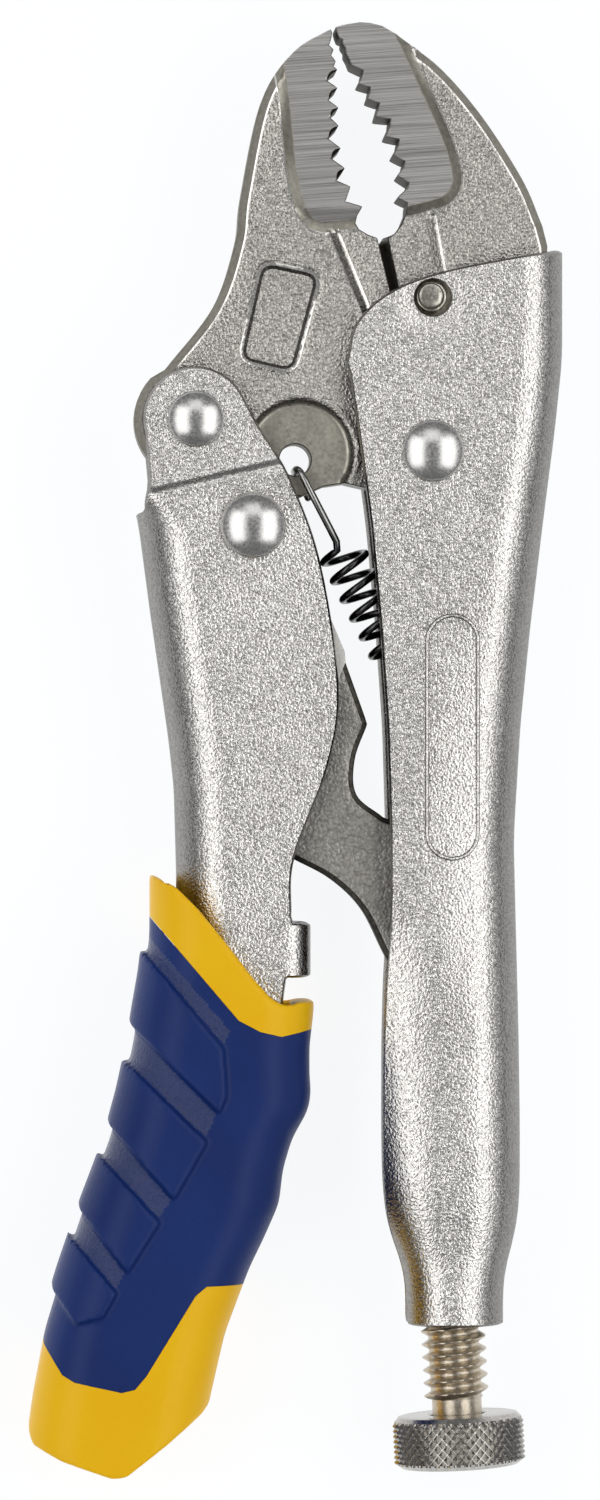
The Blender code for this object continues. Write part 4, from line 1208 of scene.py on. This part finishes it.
def screw_knob():
    """A thumb wheel with rows of small diamond points round it and a blind bore."""
    radius, height, diamonds, split, bore, groove_depth = 6.5, 5.2, 40, 10, 2.79, 0.5
    cell = 2 * pi * radius / diamonds
    low, high = -4.55, -0.65
    rows = round((high - low) / (cell / split))
    profile = [(0, -height), (5.3, -height), (5.75, -height + 0.08), (6.2, low - 0.2)]
    profile += [(radius, low + (high - low) * i / rows) for i in range(rows + 1)]
    profile += [(6.2, high + 0.18), (5.85, -0.07), (5.5, 0.0), (bore + 0.15, 0.0), (bore, -0.15)]
    profile += [(bore, -3.8), (0, -3.8)]
    columns = diamonds * split
    bm = turned(profile, columns)
    for vert in bm.verts:
        if abs(hypot(vert.co.x, vert.co.y) - radius) < 0.01:
            around = atan2(vert.co.y, vert.co.x) * radius / cell
            up = (vert.co.z - low) / cell
            groove = max(abs(2 * (t % 1.0) - 1) for t in (around + up, around - up))
            vert.co.xy *= 1 - groove_depth * groove / radius
    return piece("screw_knob_knurled", bm, (KNURL,), "screw", ("screw_knob",), 25,
                 along_screw(KNOB_TOP))


BEAD = 0.2


def handle_bead():
    """A plain oval bead on the fixed handle's near side."""
    (x0, y0), reach, half, lift, sides = (1.9, -28.0), 9.4, 2.5, 0.04, 12
    loop = arc((x0, y0 + reach), half, 0, 180, 20) + arc((x0, y0 - reach), half, 180, 360, 20)
    loop = resample(loop, 0.8, True)
    on_sheet = bend_handle(np.array(loop), SHEET / 2)[:, 2] + lift
    strands = []
    for k in range(sides):
        a = 2 * pi * k / sides
        edge = shifted(loop, BEAD * cos(a), closed=True)
        strands.append([(x, y, z + BEAD * sin(a)) for (x, y), z in zip(edge, on_sheet.tolist())])
    return piece("handle_bead", skin(list(zip(*strands)), closed=True), (NICKEL,), "fixed_side",
                 (), 60)


# ---------------------------------------------------------------- grip

# Height, lever side and handle side of the grip's outline, without its pads
GRIP_SIDES = table((
    (-38.0, -27.6, -11.5), (-47.5, -27.6, -11.5), (-51.0, -28.0, -11.5), (-55.0, -28.7, -11.6),
    (-58.2, -29.2, -12.0), (-61.2, -29.85, -12.0), (-62.8, -30.2, -11.85), (-64.6, -30.7, -12.15),
    (-67.3, -31.4, -13.7), (-70.3, -32.5, -14.6), (-73.7, -33.8, -15.0), (-76.9, -34.9, -16.4),
    (-80.1, -36.0, -17.95), (-86.4, -37.9, -20.3), (-92.7, -39.1, -21.75),
    (-102.0, -40.4, -23.2),
))
GRIP_CORNER = 5.5
COVER = 1.1
PADS = (
    ((-33.0, -44.7), (-28.5, -48.9), (-20.6, -58.3), (-20.3, -62.9), (-21.0, -64.6),
     (-29.3, -56.4), (-33.0, -52.7)),
    ((-35.0, -56.0), (-30.1, -59.8), (-22.2, -67.4), (-25.4, -73.0), (-31.6, -66.0),
     (-35.0, -62.2)),
    ((-38.0, -64.4), (-32.8, -68.8), (-26.8, -75.2), (-29.9, -80.1), (-34.7, -74.0),
     (-38.0, -70.3)),
    ((-41.0, -72.2), (-35.6, -76.8), (-31.0, -82.1), (-32.3, -84.4), (-35.0, -85.1),
     (-37.3, -81.9), (-41.0, -77.6)),
)
# The whole grip and the stretch of it under the cover, in side view
GRIP_OUTLINE = (
    (-29.0, -41.7), (-27.2, -41.6), (-25.2, -42.6), (-22.9, -44.9), (-20.3, -48.1),
    (-17.6, -51.6), (-15.9, -53.5), (-14.6, -54.2), (-12.6, -53.8), (-10.0, -53.8),
    (-10.0, -91.0), (-21.5, -92.8), (-22.6, -94.1), (-26.1, -97.0), (-30.1, -100.1),
    (-31.5, -100.2), (-36.4, -98.5), (-39.1, -97.1), (-39.7, -95.6), (-42.0, -94.6),
    (-42.0, -41.7),
)
COVER_OUTLINE = (
    (-42.0, -31.4), (-27.8, -45.4), (-19.1, -55.6), (-17.0, -56.7), (-14.9, -57.2),
    (-12.0, -56.6), (-8.0, -56.0), (-8.0, -81.5), (-18.9, -81.5), (-22.2, -81.5),
    (-23.3, -82.4), (-28.1, -90.2), (-29.2, -91.5), (-30.5, -91.8), (-35.1, -90.8),
    (-36.3, -90.1), (-38.3, -86.9), (-42.0, -80.0),
)
GRAIN_BANDS = (
    ((-34.0, -40.0), (-19.6, -56.6), (-20.6, -58.3), (-28.5, -48.9), (-34.0, -44.0)),
    ((-36.0, -50.0), (-29.3, -56.4), (-21.0, -64.6), (-22.2, -67.4), (-30.1, -59.8),
     (-36.0, -55.5)),
    ((-39.0, -60.0), (-31.6, -66.0), (-25.4, -73.0), (-26.8, -75.2), (-32.8, -68.8),
     (-39.0, -64.0)),
    ((-42.0, -67.0), (-34.7, -74.0), (-29.9, -80.1), (-31.0, -82.1), (-35.6, -76.8),
     (-42.0, -72.0)),
)


def grip_form(offset):
    """The grip's outer shape, grown or shrunk by an offset."""
    rings = []
    for y in np.linspace(-38.0, -102.0, 129):
        left, right = (eased(GRIP_SIDES, y, side, 0.7) for side in (1, 2))
        half = min(8.5, 8.0 + 0.5 * (-38.0 - y) / 17.0)
        corner = GRIP_CORNER + offset
        ring = []
        x0, x1, z = left + GRIP_CORNER, right - GRIP_CORNER, half - GRIP_CORNER
        for quarter, centre in enumerate(((x1, z), (x0, z), (x0, -z), (x1, -z))):
            ring += arc(centre, corner, 90 * quarter, 90 * (quarter + 1), 12)
        rings.append([(x, y, z) for x, z in ring])
    return skin(rings)


def grip_core():
    """The yellow core: the collar, the end cap and the waist under the cover."""
    collar, room = 6.2, 4.3
    pocket = [(-26.2, -36.0), (-26.3, -54.0), (-27.0, -65.6), (-17.4, -65.6), (-14.5, -60.0)]
    pocket += [(-13.4, -53.0), (-13.4, -36.0)]
    slot = [(-23.9, -64.0), (-31.6, -87.2), (-30.2, -88.5), (-25.4, -88.4), (-18.6, -65.0)]
    core = piece("grip_core_moulding", grip_form(0.0), (YELLOW,), "grip",
                 ("grip_core",), 40)
    combined(core, [
        ("INTERSECT", bare("ends", prism(GRIP_OUTLINE))),
        ("DIFFERENCE", bare("lever_room", prism(pocket, collar))),
        ("DIFFERENCE", bare("release_room", prism(slot, room))),
    ], 0.28, 8)
    shell = bare("cover_room", prism(COVER_OUTLINE))
    combined(shell, [("DIFFERENCE", bare("core_waist", grip_form(-COVER - 0.1)))])
    combined(core, [("DIFFERENCE", shell)])
    core.data.set_sharp_from_angle(angle=radians(40))
    return core


def grip_cover():
    """The blue cover: a soft skin over the core's waist, with four raised pads on its back."""
    cover = piece("grip_cover_moulding", grip_form(0.0), (BLUE, BLUE_GRAIN), "grip",
                  ("grip_cover",), 40)
    proud = bare("pads", grip_form(0.75))
    outlines = bmesh.new()
    for pad in PADS:
        prism(pad, onto=outlines)
    combined(proud, [("INTERSECT", bare("pad_outlines", outlines))])
    rough, ends = (prism(offset_loop(COVER_OUTLINE, grow)) for grow in (2.0, -0.03))
    combined(cover, [("UNION", proud), ("INTERSECT", bare("rough_ends", rough))], 0.24, 4)
    combined(cover, [("INTERSECT", bare("cover_ends", ends)),
                     ("DIFFERENCE", bare("cover_hollow", grip_form(-COVER)))])
    mesh = cover.data
    middle = np.empty(len(mesh.polygons) * 3)
    mesh.polygons.foreach_get("center", middle)
    middle = ((middle.reshape(-1, 3) - np.array(PIVOT)) / MM)[:, :2]
    grained = np.any([signed(middle, band) < -0.25 for band in GRAIN_BANDS], axis=0)
    mesh.polygons.foreach_set("material_index", grained.astype(int))
    mesh.set_sharp_from_angle(angle=radians(40))
    return cover


def plain_nodes():
    """Better materials for the CAD nodes whose shapes stay."""
    for name, material in (("release_lever", ZINC), ("release_pin", FORGED), ("screw_tip", FORGED)):
        data = frame["nodes"][name].data
        data.materials.clear()
        data.materials.append(material)


fixed_jaw()
movable_jaw()
fixed_handle()
lever_handle()
rivet("jaw_pivot_rivet", JAW_PIVOT, 2.3, FRAME_HALF, 3.02, 1.3, "fixed_side")
rivet("lever_rivet", LEVER_PIVOT, 2.0, 5.3, 2.75, 1.25, "swinging_jaw")
rivet("toggle_rivet", TOGGLE_PIVOT, 2.0, 5.9, 3.2, 1.45, "lever")
stake()
toggle_link()
jaw_spring()
adjusting_screw()
screw_knob()
handle_bead()
grip_core()
grip_cover()
plain_nodes()


# ---------------------------------------------------------------- floor, light and camera

# In metres: half the floor's side, its gap below the tool and the soft boxes' distance
FLOOR, FLOOR_GAP = 6.0, 0.0002
DOME = 1.1


def floor():
    """A wide pale floor that glows faintly, like a light table."""
    mesh = bpy.data.meshes.new("floor")
    corners = [(-FLOOR, -FLOOR, 0), (FLOOR, -FLOOR, 0), (FLOOR, FLOOR, 0), (-FLOOR, FLOOR, 0)]
    mesh.from_pydata(corners, [], [(0, 1, 2, 3)])
    made = linked("floor", mesh)
    made.location.z = -FLOOR_GAP
    paint = Paint("pale_floor", (0.14, 0.14, 0.14), 0.8, 0.0)
    paint.shader.inputs["Emission Color"].default_value = (0.975, 0.988, 1.0, 1.0)
    paint.shader.inputs["Emission Strength"].default_value = 0.9
    mesh.materials.append(paint.material)


def softbox(name, tilt, towards, width, length, radiance):
    """A soft light on a dome over the tool: its tilt from straight up, and the way it leans."""
    lean, turn = radians(tilt), radians(towards)
    back = Vector((sin(lean) * cos(turn), sin(lean) * sin(turn), cos(lean)))
    light = bpy.data.lights.new(name, "AREA")
    light.shape = "RECTANGLE"
    light.size, light.size_y = width, length
    light.energy = radiance * pi * width * length
    right = back.cross(Vector((-sin(turn), cos(turn), 0.0))).normalized()
    aim(linked(name, light), back * DOME, back, right)


def aim(made, where, back, right):
    """Place a light or a camera so that it looks away from back."""
    up = back.cross(right)
    rows = [[right[i], up[i], back[i], where[i]] for i in range(3)]
    made.matrix_world = Matrix([*rows, [0, 0, 0, 1]])


def lights():
    """A world that is pale at the horizon and dark overhead, and three soft boxes."""
    world = bpy.data.worlds.new("studio")
    bpy.context.scene.world = world
    world.use_nodes = True
    nodes, links = world.node_tree.nodes, world.node_tree.links
    way, parts, ramp = (nodes.new("ShaderNode" + kind)
                        for kind in ("TexCoord", "SeparateXYZ", "MapRange"))
    links.new(way.outputs["Generated"], parts.inputs[0])
    links.new(parts.outputs["Z"], ramp.inputs["Value"])
    ends = {"From Min": 0.05, "From Max": 0.15, "To Min": 0.9, "To Max": 0.16}
    for socket, value in ends.items():
        ramp.inputs[socket].default_value = value
    background = nodes["Background"]
    background.inputs["Color"].default_value = (0.97, 0.985, 1.0, 1.0)
    links.new(ramp.outputs["Result"], background.inputs["Strength"])
    for box in (("left_box", 36, 180, 0.7, 1.4, 1.65), ("right_box", 38, 0, 0.74, 1.4, 1.7),
                ("top_box", 38, 90, 0.5, 0.6, 1.0)):
        softbox(*box)


def camera():
    """A long lens over the tool's left side."""
    view_height, reach, sideways = 146.55, 742.0, 29.0
    eye = Vector((-42.0, -29.26, FRAME_HALF + sqrt(reach**2 - sideways**2)))
    target = Vector((-13.04, -29.26, FRAME_HALF))
    back = (eye - target).normalized()
    data = bpy.data.cameras.new("camera")
    made = linked("camera", data)
    aim(made, TO_ROW @ eye, back, Vector((0, 1, 0)).cross(back).normalized())
    data.sensor_fit = "VERTICAL"
    data.sensor_height = 36.0
    data.lens = data.sensor_height * (eye - target).length / view_height
    bpy.context.scene.camera = made


floor()
lights()
camera()
bpy.context.scene.view_settings.view_transform = "Standard"
bpy.context.view_layer.update()
